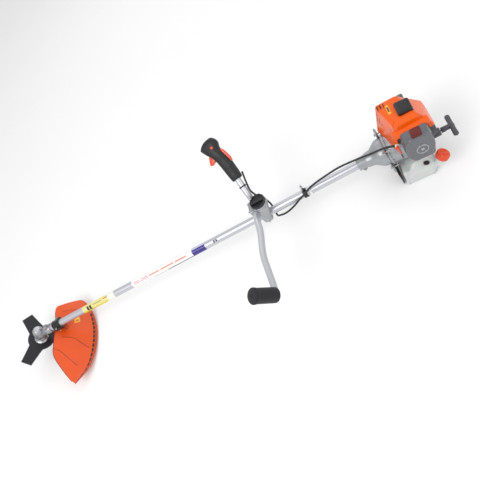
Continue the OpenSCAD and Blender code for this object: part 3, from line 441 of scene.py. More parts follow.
def cover_finish(name, colour, engine):
    """Glossy moulded plastic, with dark vent slots on the front wall and two short ones on top."""
    r = Recipe(name)
    x, y, z = r.axes()
    ex, ey, ez = engine
    clouds = r.mix(r.spots(12), shade(colour, 0.9), shade(colour, 1.05))
    wave = r.sum("SINE", r.sum("MULTIPLY", y, 2 * math.pi / 0.0125))
    slot = r.span(wave, 0, 1, 0.25, 0.45)
    front = r.inside(x, ex - 0.01, ex + 0.030, 0.001)
    tall = r.inside(z, ez + 0.092, ez + 0.128, 0.001)
    wide = r.inside(y, ey - 0.026, ey + 0.040, 0.001)
    vents = r.sum("MULTIPLY", r.sum("MULTIPLY", slot, front), r.sum("MULTIPLY", tall, wide))
    across = r.span(r.sum("SINE", r.sum("MULTIPLY", x, 2 * math.pi / 0.0095)), 0, 1, 0.1, 0.3)
    top = r.sum("MULTIPLY", r.inside(z, ez + 0.138, ez + 0.3, 0.001), r.inside(y, ey + 0.026, ey + 0.042, 0.001))
    top = r.sum("MULTIPLY", r.sum("MULTIPLY", top, across), r.inside(x, ex + 0.036, ex + 0.058, 0.001))
    # painted shade: the vent slots take a near-black colour for the shade inside them
    dark = r.sum("MAXIMUM", vents, top)
    r.colour(r.mix(dark, clouds, (0.05, 0.008, 0.004)))
    r.roughness(r.span(r.spots(60), 0.2, 0.32))
    r.relief(r.sum("SUBTRACT", r.sum("MULTIPLY", r.spots(160, 2.0), 0.006), dark), 0.3, 0.0012)
    r.set(Coat_Weight=0.15, Coat_Roughness=0.2, Specular_IOR_Level=0.35)
    return r.material


def foam_finish(name, colour):
    """Closed-cell foam: small pits with darker bottoms over soft clouds."""
    r = Recipe(name)
    cells = r.add("ShaderNodeTexVoronoi", Scale=420.0)
    r.join(r.object, cells.inputs["Vector"])
    pits = r.span(cells.outputs["Distance"], 0, 1, 0.1, 0.6)
    clouds = r.mix(r.spots(40), shade(colour, 0.8), shade(colour, 1.5))
    r.colour(r.mix(pits, clouds, shade(colour, 2.2)))
    r.roughness(r.span(pits, 0.65, 0.85, 0, 1))
    r.relief(pits, 0.5, 0.0005)
    r.set(Sheen_Weight=0.1, Sheen_Roughness=0.5)
    return r.material


def grip_finish(name, colour):
    """Moulded rubber: close ribs across the grip and a fine sandy skin."""
    r = Recipe(name)
    uv = r.add("ShaderNodeUVMap", uv_map="surface").outputs[0]
    u, v, _ = r.axes(uv)
    ribs = r.span(r.sum("SINE", r.sum("MULTIPLY", v, 230.0)), 0, 1, -0.4, 0.4)
    zone = r.inside(v, 0.08, 0.56, 0.02)
    both = r.sum("MULTIPLY", ribs, zone)
    sand = r.spots(1400, 2.0)
    r.colour(r.mix(sand, shade(colour, 0.7), shade(colour, 1.6)))
    r.roughness(r.span(r.spots(80), 0.4, 0.6))
    r.relief(r.sum("ADD", both, r.sum("MULTIPLY", sand, 0.25)), 0.45, 0.0006)
    return r.material


def blade_finish(name, colour):
    """Black enamel over steel: bare along the ground edges, with faint scuffs; V runs from bore to rim and back."""
    r = Recipe(name)
    uv = r.add("ShaderNodeUVMap", uv_map="surface").outputs[0]
    u, v, _ = r.axes(uv)
    scuffs = r.spots(60, 6.0, 0.7, (1, 4, 1))
    edge = r.inside(v, 0.40, 0.60, 0.02)
    bare = r.sum("MULTIPLY", edge, r.span(scuffs, 0.25, 0.9, 0.35, 0.6))
    paint = r.mix(r.spots(26), shade(colour, 0.75), shade(colour, 1.5))
    r.colour(r.mix(bare, r.mix(r.span(scuffs, 0, 0.3, 0.6, 0.75), paint, (0.2, 0.21, 0.22)), (0.42, 0.43, 0.45)))
    r.join(bare, r.shader.inputs["Metallic"])
    r.roughness(r.span(scuffs, 0.28, 0.5))
    r.relief(scuffs, 0.08, 0.0002)
    return r.material


def tank_finish(name, colour):
    """Cloudy white polyethylene that lets a little light in."""
    r = Recipe(name)
    r.set(Subsurface_Weight=0.35, Subsurface_Scale=0.02, Coat_Weight=0.15, Coat_Roughness=0.25)
    r.colour(r.mix(r.spots(9), shade(colour, 0.93), shade(colour, 1.06)))
    r.roughness(r.span(r.spots(50), 0.28, 0.42))
    r.relief(r.spots(600, 2.0), 0.08, 0.0003)
    return r.material


def label_finish(name, base, patches):
    """A printed film: plain patches of colour, each (from, to, lowest, highest, colour) in shares of the film's
    length and width, and a little unevenness in the ink. The film's outer face takes half of U."""
    r = Recipe(name)
    uv = r.add("ShaderNodeUVMap", uv_map="surface").outputs[0]
    across, along, _ = r.axes(uv)
    across = r.sum("MULTIPLY", across, 2.04)
    colour = r.mix(r.spots(30), shade(base, 0.96), base)
    for low, high, bottom, top, ink in patches:
        area = r.sum("MULTIPLY", r.inside(along, low, high, 0.002), r.inside(across, bottom, top, 0.012))
        colour = r.mix(area, colour, ink)
    r.colour(colour)
    r.roughness(r.span(r.spots(120), 0.22, 0.34))
    r.relief(r.spots(800, 2.0), 0.03, 0.0001)
    r.set(Coat_Weight=0.3, Coat_Roughness=0.15)
    return r.material


def ink(red, green, blue):
    """A colour given as 0 to 255 steps of screen light, as the shader wants it."""
    return tuple((c / 255) ** 2.2 for c in (red, green, blue))


def finish_of(slot):
    """The material for a slot of the record, made the first time it is asked for."""
    found = bpy.data.materials.get("finish_" + slot)
    return found or FINISHES[slot]("finish_" + slot)


ENGINE_ORIGIN = tuple(TUBE_START + np.array([ENGINE_X, 0, 0]) * MM)
FINISHES = {
    "cast_alloy": lambda n: cast_finish(n, ink(172, 174, 178)),
    "tube_alloy": lambda n: anodised_finish(n, ink(198, 199, 206)),
    "machined_steel": lambda n: plain_finish(n, ink(168, 170, 172), 0.26, 1.0, 500, 0.08),
    "fastener_steel": lambda n: plain_finish(n, ink(186, 188, 190), 0.3, 1.0, 600, 0.1),
    "flange_steel": lambda n: plain_finish(n, ink(178, 180, 183), 0.34, 1.0, 500, 0.12),
    "blade_black": lambda n: blade_finish(n, ink(24, 25, 29)),
    "guard_orange": lambda n: guard_finish(n, ink(220, 80, 22)),
    "cover_orange": lambda n: cover_finish(n, ink(236, 92, 8), ENGINE_ORIGIN),
    "control_orange": lambda n: plain_finish(n, ink(226, 72, 24), 0.3, 0.0, 700, 0.1, Coat_Weight=0.3),
    "black_plastic": lambda n: plain_finish(n, ink(24, 24, 28), 0.34, 0.0, 800, 0.2, mottle=0.25, Coat_Weight=0.15),
    "foam_black": lambda n: foam_finish(n, ink(24, 24, 28)),
    "grip_black": lambda n: grip_finish(n, ink(27, 27, 30)),
    "cable_black": lambda n: plain_finish(n, ink(30, 30, 33), 0.4, 0.0, 900, 0.2, mottle=0.3),
    "tie_white": lambda n: plain_finish(n, ink(236, 236, 234), 0.4, 0.0, 700, 0.1, mottle=0.05),
    "filter_grey": lambda n: plain_finish(n, ink(104, 105, 110), 0.32, 0.35, 900, 0.14, mottle=0.1, Coat_Weight=0.25),
    "starter_grey": lambda n: plain_finish(n, ink(78, 78, 84), 0.4, 0.1, 800, 0.2, mottle=0.14),
    "tank_white": lambda n: tank_finish(n, ink(206, 210, 208)),
    "bulb_clear": lambda n: plain_finish(n, ink(205, 212, 214), 0.15, 0.0, 300, 0.03, Transmission_Weight=0.7),
    "muffler_steel": lambda n: plain_finish(n, ink(120, 116, 110), 0.45, 0.9, 300, 0.3, mottle=0.2),
    "ceramic_white": lambda n: plain_finish(n, ink(240, 240, 236), 0.2, 0.0, 400, 0.05, mottle=0.04),
    "bush_rubber": lambda n: plain_finish(n, ink(28, 28, 30), 0.7, 0.0, 600, 0.2, mottle=0.2),
    "cast_iron_dark": lambda n: cast_finish(n, ink(84, 82, 80), 0.55),
}


# ------------------------------------------------------------------ rounded hulls

def flat_through(a, b, c, inside):
    """The plane through three points, as (outward direction, distance) seen from an inside point."""
    a, b, c, inside = (np.asarray(p, float) for p in (a, b, c, inside))
    normal = np.cross(b - a, c - a)
    normal /= np.linalg.norm(normal)
    reach = normal @ (a - inside)
    return (normal, reach) if reach > 0 else (-normal, -reach)


def hull_point(planes, centre, theta, phi, power):
    """Where a ray from the centre leaves a rounded hull: 1/distance = (sum of (n.d/h)^p)^(1/p), over the planes
    that face the ray."""
    d = np.stack([np.cos(phi) * np.cos(theta), np.cos(phi) * np.sin(theta), np.sin(phi)], -1)
    total = sum(np.maximum(d @ n, 0) ** power / h ** power for n, h in planes)
    return np.asarray(centre, float) + d / (total ** (1 / power))[..., None]


def rounded_hull(planes, centre, sides=120, rows=60, power=24, rim=None, wall=0.0):
    """A closed rounded hull, or with rim(x, y) a shell that is open below that height, its wall doubled inwards."""
    theta = np.linspace(0, 2 * np.pi, sides, endpoint=False)
    if rim is None:
        t = np.linspace(-np.pi / 2, np.pi / 2, rows)[:, None]
        return hull_point(planes, centre, theta[None, :] + 0 * t, t + 0 * theta[None, :], power)
    low, high = np.full(sides, -1.3), np.full(sides, 1.3)
    for _ in range(40):
        middle = (low + high) / 2
        p = hull_point(planes, centre, theta, middle, power)
        under = p[:, 2] < rim(p[:, 0], p[:, 1])
        low, high = np.where(under, middle, low), np.where(under, high, middle)
    t = np.linspace(0, 1, rows)[:, None]
    phi = low[None, :] * (1 - t) + np.pi / 2 * t
    outer = hull_point(planes, centre, theta[None, :] + 0 * t, phi, power)
    tight = [(n, h - wall) for n, h in planes]
    inner = hull_point(tight, centre, theta[None, :] + 0 * t, phi, power)
    inner[0, :, 2] = outer[0, :, 2]
    return np.concatenate([inner[::-1], outer])


# ------------------------------------------------------------------ blade end

def guard_sheet(s, t):
    """The guard's upper face over shares s along and t across it: straight between two smooth curves, crowned by
    12 sin(pi t) sin(pi (0.15 + 0.7 s)) + 4 t, with low ridges along three lines."""
    near = bend([(66, 106), (69, 24), (64, -60), (66, -118), (100, -182), (138, -238)], s * 5)
    far = bend([(184, 124), (220, 66), (238, 0), (240, -62), (230, -128), (204, -192), (152, -250)], s * 6)
    plan = near + (far - near) * t[..., None]
    height = BLADE_Z + 58 + 12 * np.sin(np.pi * t) * np.sin(np.pi * (0.15 + 0.7 * s)) + 4 * t
    for line in ([(102, -46), (155, -65), (209, -111)], [(57, -86), (103, -116), (163, -182)], [(99, 71), (165, 73)]):
        gap = np.full(t.shape, 1e9)
        for a, b in zip(np.array(line, float)[:-1], np.array(line, float)[1:]):
            share = np.clip(((plan - a) @ (b - a)) / ((b - a) @ (b - a)), 0, 1)
            gap = np.minimum(gap, np.linalg.norm(plan - a - share[..., None] * (b - a), axis=-1))
        height = height + 1.6 * np.exp(-(gap / 3.2) ** 2)
    rim = np.clip((t - 0.965) / 0.035, 0, 1)
    height = height - 1.2 * rim ** 2
    return np.concatenate([plan, height[..., None]], -1)


def build_guard(sizes):
    """The guard over the blade, and what is fixed to it."""
    s = np.linspace(0, 1, 181)[:, None]
    over = np.linspace(0, 1, 61)[None, :]
    round_off = 1 - np.sqrt(1 - np.clip(1 - s / 0.07, 0, 1) ** 2)
    over = 0.13 * round_off + (1 - 0.3 * round_off) * over
    top = guard_sheet(s + 0 * over, over + 0 * s)
    thick = sizes.guard_thickness / MM
    lip = top[:, -1:].repeat(3, 1) - np.array([[0, 0, 2.5], [0, 0, 6.5], [0, 0, 7.5]])[None]
    back = 0.13 * round_off + (1 - 0.3 * round_off) * np.linspace(0.972, 0, 40)[None, :]
    under = guard_sheet(s + 0 * back, back + 0 * s) - [0, 0, thick]
    foot = under[:, :1].copy()
    foot[..., 2] = lip[:, -1:, 2]
    across = np.concatenate([top, lip, foot, under], 1)
    guard = piece("guard_shell", [solid(on_head(across))], finish_of("guard_orange"),
                  nodes=("guard_shield",), sharp=50)
    # painted shade: thin dark red tubes along the guard's creases and near edge stand in for the shade there
    crease_shade = plain_finish("finish_guard_groove", ink(120, 34, 14), 0.45)
    dense = guard_sheet(*np.meshgrid(np.linspace(0, 1, 260), np.linspace(0, 1, 120), indexing="ij")).reshape(-1, 3)
    for number, line in enumerate(([(100, -46), (128, -52), (155, -65), (209, -111)],
                                   [(62, -88), (84, -98), (103, -116), (163, -182)],
                                   [(99, 74), (130, 77), (165, 70), (186, 52)])):
        plan = bend(line, np.linspace(0, 3, 10))
        near = [dense[np.argmin(np.linalg.norm(dense[:, :2] - q, axis=1))] for q in plan]
        piece("guard_crease_shade_%d" % (number + 1), [solid(on_head(swept(near, 0.95, 8, 60)))], crease_shade)
    # painted shade: a dark red tube along the guard's near edge stands in for the shade under it
    edge_shade_path = guard_sheet(np.linspace(0.075, 1, 30)[:, None], np.zeros((30, 1)))[:, 0] - [0, 0, 0.4]
    piece("guard_edge_shade", [solid(on_head(swept(edge_shade_path, 1.3, 10, 120)))], crease_shade)
    s, t = np.meshgrid(np.linspace(0.195, 0.27, 12), np.linspace(0.5, 0.64, 12), indexing="ij")
    face = guard_sheet(s, t)
    film = np.concatenate([face + [0, 0, 0.45], face[:, ::-1] - [0, 0, 0.2]], 1)
    mark = label_finish("finish_guard_sticker", ink(246, 176, 30),
                        [(0.15, 0.5, 0.2, 0.8, ink(250, 206, 60)), (0.6, 0.85, 0.25, 0.75, ink(200, 110, 20))])
    piece("guard_sticker", [solid(on_head(film))], mark)
    return guard


def blade_outline(reach):
    """Three blunt teeth on a disc of radius 57; a tooth's half-width is 37.6 - 0.125x, then 35.65 - 0.094x."""
    half = lambda x: np.where(x < 62.7, 37.6 - 0.125 * x, 35.65 - 0.094 * x)
    out = []
    for middle in (2, 122, 242):
        x = np.r_[np.linspace(47.4, reach, 22)]
        y = half(x)
        tip = [(reach + 0.5, y[-1] - 2.0), (reach + 0.8, 0), (reach + 0.5, 2.0 - y[-1])]
        tooth = np.array([*np.c_[x, -y], *tip[::-1], *np.c_[x, y][::-1]])
        arc = np.radians(np.linspace(33.75, 86.25, 18)[1:-1])
        both = np.concatenate([tooth, np.c_[57 * np.cos(arc), 57 * np.sin(arc)]])
        a = math.radians(middle)
        out.append(both @ np.array([[math.cos(a), math.sin(a)], [-math.sin(a), math.cos(a)]]))
    return np.concatenate(out)


def build_blade(sizes):
    """The blade: its outline carried inwards to the bore in rows, and the flange's turned rim."""
    line = blade_outline(sizes.blade_reach / MM)
    angle = np.arctan2(line[:, 1], line[:, 0])
    bore = 12.7 * np.stack([np.cos(angle), np.sin(angle)], -1)
    rows = [(0, 0, -1), (0.3, 0, -1), (0.6, 0, -1), (0.85, 0, -1), (1, 2.6, -1), (1, 0.5, -1), (1, 0, -0.55)]
    rows += [(w, d, -z) for w, d, z in rows[::-1]] + [rows[0]]
    grid = [np.c_[bore + (inset(line, d) - bore) * w, np.full(len(line), BLADE_Z + z)] for w, d, z in rows]
    piece("cutting_blade", [hoop(on_head(np.array(grid)))], finish_of("blade_black"), body="blade_set",
          nodes=("blade",), sharp=40)
    ribs = lambda a, z: 0.25 * np.sin(36 * a)
    top = turned_round([(13, BLADE_Z + 1.1), (27.4, BLADE_Z + 1.1), (28.5, BLADE_Z + 2), (28.5, BLADE_Z + 4),
                        (27.6, BLADE_Z + 5), (20, BLADE_Z + 6.5), (12, BLADE_Z + 7.5), (12, BLADE_Z + 1.1),
                        (13, BLADE_Z + 1.1)], 72, ribs)
    piece("upper_flange_rim", [hoop(on_head(top))], finish_of("flange_steel"), body="blade_set")


def build_gear_head(sizes):
    """The gear head: a turned wall under a quarter-circle dome, a turned sleeve and a clamping lug."""
    a = np.radians(np.linspace(0, 90, 14))
    wall = [(0, -24), (23.4, -24), (24.2, -23.6), (24.5, -22.8), (24.5, -16.2), (24.2, -15.4), (23.2, -15),
            (22.3, -14), (22, -12.5), (22, 8), (22, 8.1), (22.5, 9), (22.5, 12), (22, 13), (22, 22)]
    dome = [(22 * math.cos(x), 22 + 22 * math.sin(x)) for x in a[1:]]
    body = on_head(turned_round(wall + dome[:-1] + [(0, 44)], 72))
    bulge = [(0, -62), (14, -61), (15.6, -57), (16.2, -50), (16.6, -40), (17, -30), (18.2, -26), (18.8, -22),
             (18.8, 2.8), (18, 4), (14.2, 4), (14.2, 0), (0, 0)]
    sleeve = on_tube(along_x(turned_round(bulge, 64)))
    lug = on_tube(block((-20, -9, 13.5), (0, 9, 27.5), 2.2, 3))
    # painted shade: a thin black sheet through the lug stands in for the shade in its slit
    slot = on_tube(block((-20.2, -0.9, 13.5), (0.2, 0.9, 27.7), 0.2))
    piece("gear_head_casting", [solid(body), solid(sleeve), solid(lug)], finish_of("cast_alloy"),
          nodes=("gear_case",), sharp=50)
    piece("gear_head_slit_shade", [solid(slot)], finish_of("black_plastic"))
    cap = [(0, 36), (11.4, 36), (11.8, 37), (11.8, 42.6), (11, 43.6), (9.6, 44), (0, 44)]
    piece("gear_head_cap", [solid(on_head(turned_round(cap, 48)))], finish_of("tube_alloy"))


# ------------------------------------------------------------------ tube and labels

def film(x0, x1, turn_from, turn_to, rise=0.3):
    """A thin film round the tube over part of a turn; the angle is measured from +Z towards -Y."""
    angle = np.radians(np.linspace(turn_from, turn_to, 30))
    outer, inner = TUBE_R + rise, TUBE_R - 0.05
    a = np.concatenate([angle, angle[::-1]])
    r = np.r_[np.full(30, outer), np.full(30, inner)]
    x = np.linspace(x0, x1, 3)[:, None]
    return on_tube(np.stack([x + 0 * a, -r * np.sin(a) + 0 * x, r * np.cos(a) + 0 * x], -1))


def build_collar(sizes):
    """The black collar that holds the guard: a sleeve with two ears, each with a screw, and a short foot."""
    sleeve = turned_round([(14.1, 22), (19, 22), (20, 23), (20, 57), (19, 58), (14.1, 58), (14.1, 22)], 56)
    parts = [hoop(on_tube(along_x(sleeve)))]
    for low, high in (((27, -29, -4.8), (53, 29, 4.8)), ((24, -15, -22), (56, 15, -12))):
        parts.append(solid(on_tube(block(low, high, 1.6, 4))))
    for x in (26, 40, 54):
        ring = turned_round([(19.4, x - 1.6), (20.7, x - 1.2), (20.7, x + 1.2), (19.4, x + 1.6), (19.4, x - 1.6)], 56)
        parts.append(hoop(on_tube(along_x(ring))))
    piece("guard_collar", parts, finish_of("black_plastic"), nodes=("guard_clamp",), sharp=40)


def build_tube(sizes):
    """The drive tube and its labels."""
    r = sizes.tube_radius / MM
    pipe = [(r, -23), (r, 1437), (r - 1.5, 1437), (r - 1.5, -23), (r, -23)]
    piece("drive_tube_skin", [hoop(on_tube(along_x(turned_round(pipe, 64))))], finish_of("tube_alloy"),
          nodes=("drive_tube",))
    yellow = label_finish("finish_label_yellow", ink(226, 218, 140), [
        (0.0, 0.75, 0.62, 1.0, ink(222, 200, 88)), (0.14, 0.2, 0.35, 0.7, ink(50, 50, 48)),
        (0.22, 0.28, 0.35, 0.7, ink(50, 50, 48)), (0.34, 0.62, 0.4, 0.46, ink(150, 140, 110)),
        (0.66, 0.8, 0.35, 0.42, ink(200, 110, 70)), (0.8, 1.0, 0.0, 1.0, ink(232, 232, 226))])
    piece("label_yellow", [solid(film(193, 360, -70, 150))], yellow)
    white = label_finish("finish_label_white", ink(240, 240, 240), [
        (0.03, 0.11, 0.42, 0.5, ink(216, 150, 165)), (0.03, 0.24, 0.56, 0.62, ink(216, 150, 165)),
        (0.14, 0.24, 0.42, 0.5, ink(216, 150, 165)), (0.252, 0.40, 0.45, 0.56, ink(238, 140, 110)),
        (0.42, 0.60, 0.45, 0.56, ink(238, 130, 96)), (0.62, 0.774, 0.45, 0.56, ink(236, 120, 84)),
        (0.5, 1.0, 0.80, 1.0, ink(30, 34, 30)), (0.3, 0.52, 0.86, 1.0, ink(120, 140, 100))])
    piece("label_white", [solid(film(453, 790, -60, 130))], white)
    violet = label_finish("finish_label_violet", ink(56, 40, 130), [
        (0.0, 1.0, 0.0, 0.32, ink(214, 212, 232)), (0.0, 0.95, 0.12, 0.2, ink(96, 84, 160))])
    piece("label_violet", [solid(film(741, 798, -52, 120, 0.5))], violet)
    small = label_finish("finish_label_small", ink(40, 40, 42), [(0.42, 0.58, 0.0, 1.0, ink(225, 225, 228))])
    piece("label_small", [solid(film(836, 852, 22, 58))], small)


# ------------------------------------------------------------------ handlebars and controls

LEFT_BAR = [(0, -1, 0), (0, -24, 0), (0, -38, 0.4), (0, -62, 4), (3, -105, 6), (-3, -180, 10), (-3, -215, 10),
            (1, -270, 6), (4, -322, 2), (2, -342, 10), (-28, -357, 76)]
RIGHT_BAR = [(0, 1, 0), (0, 23, 0), (0, 32, 0.5), (-1.5, 40, 8), (-3.5, 54, 26), (-9, 92, 60), (-19, 150, 110)]


def on_bar(points):
    """From the handlebars' frame in mm to the model's frame in metres."""
    return on_tube(placed(points, (BAR_X, 0, BAR_H)))


def between(start, end):
    """A matrix whose Z runs from start to end."""
    z = np.asarray(end, float) - np.asarray(start, float)
    z /= np.linalg.norm(z)
    x = np.cross([0, 1, 0], z)
    x /= np.linalg.norm(x)
    return np.stack([x, np.cross(z, x), z], 1)


def build_bars(sizes):
    """The two handlebars, each a circle carried along a smooth curve, and the left grip."""
    for name, route, node in (("left", LEFT_BAR, "left_bar"), ("right", RIGHT_BAR, "right_bar")):
        grid = swept(route, sizes.bar_radius / MM, 32, 40 * (len(route) - 1))
        finish = finish_of("tube_alloy")
        piece("handlebar_" + name, [solid(on_bar(grid))], finish, nodes=(node,))
    start, end = np.array(LEFT_BAR[-2], float), np.array(LEFT_BAR[-1], float)
    foam = [(11.2, -4), (22.4, -4), (23.4, -3.6), (24, -2.4), (24, 76.6), (24.8, 76.8), (25.5, 77.8), (25.5, 83.4),
            (24.6, 84.4), (22.4, 85), (22, 86.4), (20.6, 87), (6, 87), (5.4, 85.6), (0, 85.6)]
    rings = lambda a, z: 0.25 * np.sin(2 * np.pi * z / 4.2) * (z > 0) * (z < 75)
    dense = np.array(foam)
    body = np.concatenate([dense[:4], np.c_[np.full(76, 24.0), np.linspace(-2, 76, 76)], dense[5:]])
    grid = placed(turned_round(body, 56, rings), start, between(start, end))
    piece("left_hand_grip", [(on_bar(grid), True, (True, True))], finish_of("foam_black"),
          nodes=("left_grip",), sharp=50)


def throttle_section(z):
    """The throttle grip's section at a height: (lowest x, highest x, half its width), smooth between stations."""
    table = np.array([(-4, -15, 17, 15), (0, -18, 20, 18), (20, -20, 22, 18), (63, -22, 23, 18), (84, -24, 20, 18),
                      (104, -29, 15, 19), (121, -39, 14, 20), (135, -46, 22, 20), (148, -50, 20, 19),
                      (158, -38, 14, 15), (163, -24, 8, 10)], float)
    return np.stack([np.interp(z, table[:, 0], table[:, k]) for k in (1, 2, 3)], -1)


def build_throttle(sizes):
    """The throttle grip with its trigger, lever and switch."""
    z = np.r_[-4, -3, -1.5, np.linspace(0, 150, 76), 154, 157, 160, 162, 163]
    kernel = np.ones(5) / 5
    sizes_at = throttle_section(z)
    soft = np.stack([np.convolve(np.pad(c, 2, "edge"), kernel, "valid") for c in sizes_at.T], -1)
    sizes_at = np.where((z > 4)[:, None] & (z < 146)[:, None], soft, sizes_at)
    a = np.linspace(0, 2 * np.pi, 72, endpoint=False)
    c, s = np.sign(np.cos(a)) * abs(np.cos(a)) ** 0.8, np.sign(np.sin(a)) * abs(np.sin(a)) ** 0.8
    mid, half = (sizes_at[:, 0] + sizes_at[:, 1]) / 2, (sizes_at[:, 1] - sizes_at[:, 0]) / 2
    grid = np.stack([mid[:, None] + half[:, None] * c, sizes_at[:, 2:3] * s, z[:, None] + 0 * c], -1)
    piece("throttle_grip_body", [solid(on_throttle(grid))], finish_of("grip_black"),
          nodes=("throttle_grip",), sharp=50)

    def blade_of(outline, pivot, half_width, edge):
        """A flat outline with 3 mm corners, carried across the grip and moved to its pivot."""
        flat = eased(outline, 3.0, 6)
        grid = slab(flat, -half_width, half_width, edge)
        return on_throttle(np.stack([grid[..., 0] + pivot[0], grid[..., 2], grid[..., 1] + pivot[1]], -1))

    trigger = [(-5, 5), (5, 5), (6, -6), (1, -22), (-8, -24), (-26, -29), (-33, -24), (-26, -10), (-18, 2)]
    piece("trigger_blade", [solid(blade_of(trigger, (-19, 112), 6.6, 1.8))], finish_of("control_orange"),
          body="trigger", nodes=("throttle_trigger",))
    lever = [(-3, 4), (3, 4), (8, -8), (14, -36), (12, -50), (8, -51), (4, -40), (-2, -10)]
    piece("lever_blade", [solid(blade_of(lever, (15, 108), 5, 1.5))], finish_of("control_orange"), body="lever",
          nodes=("safety_lever",))
    low = [(-4.7, -22.5, 126), (4.7, -14.5, 134)]
    piece("switch_button", [solid(on_throttle(block(*low, 1.2)))], finish_of("control_orange"), body="switch",
          nodes=("stop_switch",))


CABLE = [(1056, 112, 122), (1054, 92, 110), (1053, 70, 98), (1054, 50, 84), (1062, 39, 62), (1070, 37, 40),
         (1076, 36, 14), (1078, 29, -11), (1079, 9, -25), (1084, -10, -25), (1097, -21, -17), (1115, -23, -18),
         (1138, -23, -13), (1164, -22, -2), (1186, -21, 10), (1207, -19, 18), (1232, -12, 26), (1262, -4, 27),
         (1300, 0, 29), (1345, 0, 34), (1390, -4, 35), (1430, -12, 38), (1462, -26, 50), (1490, -45, 70),
         (1512, -60, 82), (1530, -66, 80), (1543, -67, 74)]


def build_cable(sizes):
    """The throttle cable, a circle carried along a smooth curve, and its ties."""
    grid = swept(CABLE, sizes.cable_radius / MM, 20, 16 * (len(CABLE) - 1))
    piece("throttle_cable_sheath", [solid(on_tube(grid))], finish_of("cable_black"),
          nodes=("throttle_cable",))
    end = np.array(CABLE[-1], float)
    ferrule = placed(turned_round([(0, -13), (3.8, -13), (4.4, -12), (4.4, -1), (3.8, 0), (0, 0)], 32), end,
                     between(CABLE[-2], CABLE[-1]))
    piece("cable_ferrule", [solid(on_tube(ferrule))], finish_of("tie_white"))
    band = [(14.1, -2.4), (15.4, -2.4), (15.6, -2.0), (15.6, 2.0), (15.4, 2.4), (14.1, 2.4), (14.1, -2.4)]
    loop = placed(along_x(turned_round(band, 48)), (1228.5, 0, 0))
    head = placed(block((-3, -4, 0), (3, 4, 5), 1), (1228.5, -4, 14))
    piece("cable_tie_white", [hoop(on_tube(loop)), solid(on_tube(head))], finish_of("tie_white"),
          nodes=("cable_ties",))
    middle = (np.array(RIGHT_BAR[4]) + np.array(RIGHT_BAR[5])) / 2
    strap = turned_round([(11.1, -2.5), (12.8, -2.5), (13, -2), (13, 2), (12.8, 2.5), (11.1, 2.5), (11.1, -2.5)], 40)
    piece("cable_tie_black", [hoop(on_bar(placed(strap, middle, between(RIGHT_BAR[4], RIGHT_BAR[5]))))],
          finish_of("cable_black"))


# ------------------------------------------------------------------ handlebar bracket

def build_bracket(sizes):
    """The handlebar bracket: a turned body cut by a sloping plane, rounded blocks and a scalloped knob."""
    a = np.linspace(0, 2 * np.pi, 73)[:-1]

    def body_loop(z, r):
        """A circle of radius r at height z, cut by a plane that leans 21 degrees."""
        x, y = r * np.cos(a), r * np.sin(a)
        x = np.minimum(x, r - (59 - min(z, 59)) * math.tan(math.radians(21)))
        return np.stack([x + BRACKET_X, y, np.full_like(x, z)], -1)

    rows = [(0.4, 24.5), (0.9, 26.4), (2, 27), (34, 27.4), (58, 28), (58.8, 27.6), (59.4, 26.2), (60.6, 26.2),
            (61.2, 27.4), (62, 28), (69.4, 28), (70.4, 27.4), (71, 26.4)]
    body = np.array([body_loop(z, r) for z, r in rows])
    neck = placed(block((1041.2, -23, 35.4), (1068, 23, 71), 2.4, 3.2))
    foot = placed(block((1036, -23, 0.3), (1070, 23, 34), 3, 9))
    piece("bracket_casting", [solid(on_tube(body)), solid(on_tube(neck)), solid(on_tube(foot))],
          finish_of("cast_alloy"), nodes=("bracket_body",), sharp=50)
    base = block((1036, -23, -20), (1070, 23, -0.3), 5, 9)
    piece("bracket_foot", [solid(on_tube(base))], finish_of("cast_alloy"),
          nodes=("bracket_base",), sharp=50)
    cap = block((1024, -23, 36), (1040.7, 23, 70), 3.4, 4)
    piece("bar_cap_casting", [solid(on_tube(cap))], finish_of("cast_alloy"), nodes=("bar_cap",),
          sharp=50)
    scallops = lambda angle, z: -1.6 * (0.5 - 0.5 * np.cos(12 * angle)) ** 3
    outer = [(0, 71.4), (26.4, 71.4), (27.6, 72), (28, 73), (28, 81.8), (27.4, 83), (26.2, 83.4), (24.8, 83.2)]
    rim = turned_round(outer, 144, scallops)
    well = turned_round([(24, 82.4), (24, 78.4), (23, 77.6), (0, 77.4)], 144)
    knob = placed(np.concatenate([rim, well]), (BRACKET_X, 0, 0))
    ridge = placed(block((-24.4, -5, 76.6), (24.4, 5, 83.2), 1.6, 2.6), (BRACKET_X, 0, 0))
    piece("clamp_knob", [solid(on_tube(knob)), solid(on_tube(ridge))], finish_of("black_plastic"), body="knob",
          nodes=("bracket_knob",), sharp=40)


# ------------------------------------------------------------------ engine

def build_clutch_housing(sizes):
    """The clutch housing's turned cone with its four lugs, the fan case and the tank's strap."""
    cone = [(14.2, -97), (20, -97), (21, -96), (21, -70), (22.4, -68.6), (24, -64), (26, -50), (27, -46), (34.5, -36),
            (43, -24), (44.4, -20), (46, -8), (46, -0.6), (45.4, 0), (40, 0), (24, -22), (14.2, -60), (14.2, -97)]
    ribs = [block((-7.6, y - 14, z - 14), (0, y + 14, z + 14), 1.6, 8) for y in (-41, 41) for z in (-41, 41)]
    drum = [(0, 0.2), (46, 0.2), (47, 1), (48, 8), (50, 20), (50, 33), (49, 35), (0, 35)]
    piece("fan_case_drum", [solid(on_engine(along_x(turned_round(drum, 72))))], finish_of("cast_alloy"),
          nodes=("fan_case",), sharp=50)
    strap = block((-2.5, -60, -122), (1.5, 44, -66), 0.8, 3)
    piece("tank_strap", [solid(on_engine(strap))], finish_of("black_plastic"),
          nodes=("tank_stand",))
    lug = block((-91, -9, -29), (-75, 9, -13), 2, 3)
    piece("clutch_casting", [hoop(on_engine(along_x(turned_round(cone, 72))))]
          + [solid(on_engine(g)) for g in ribs + [lug]], finish_of("cast_alloy"),
          nodes=("clutch_housing",), sharp=50)


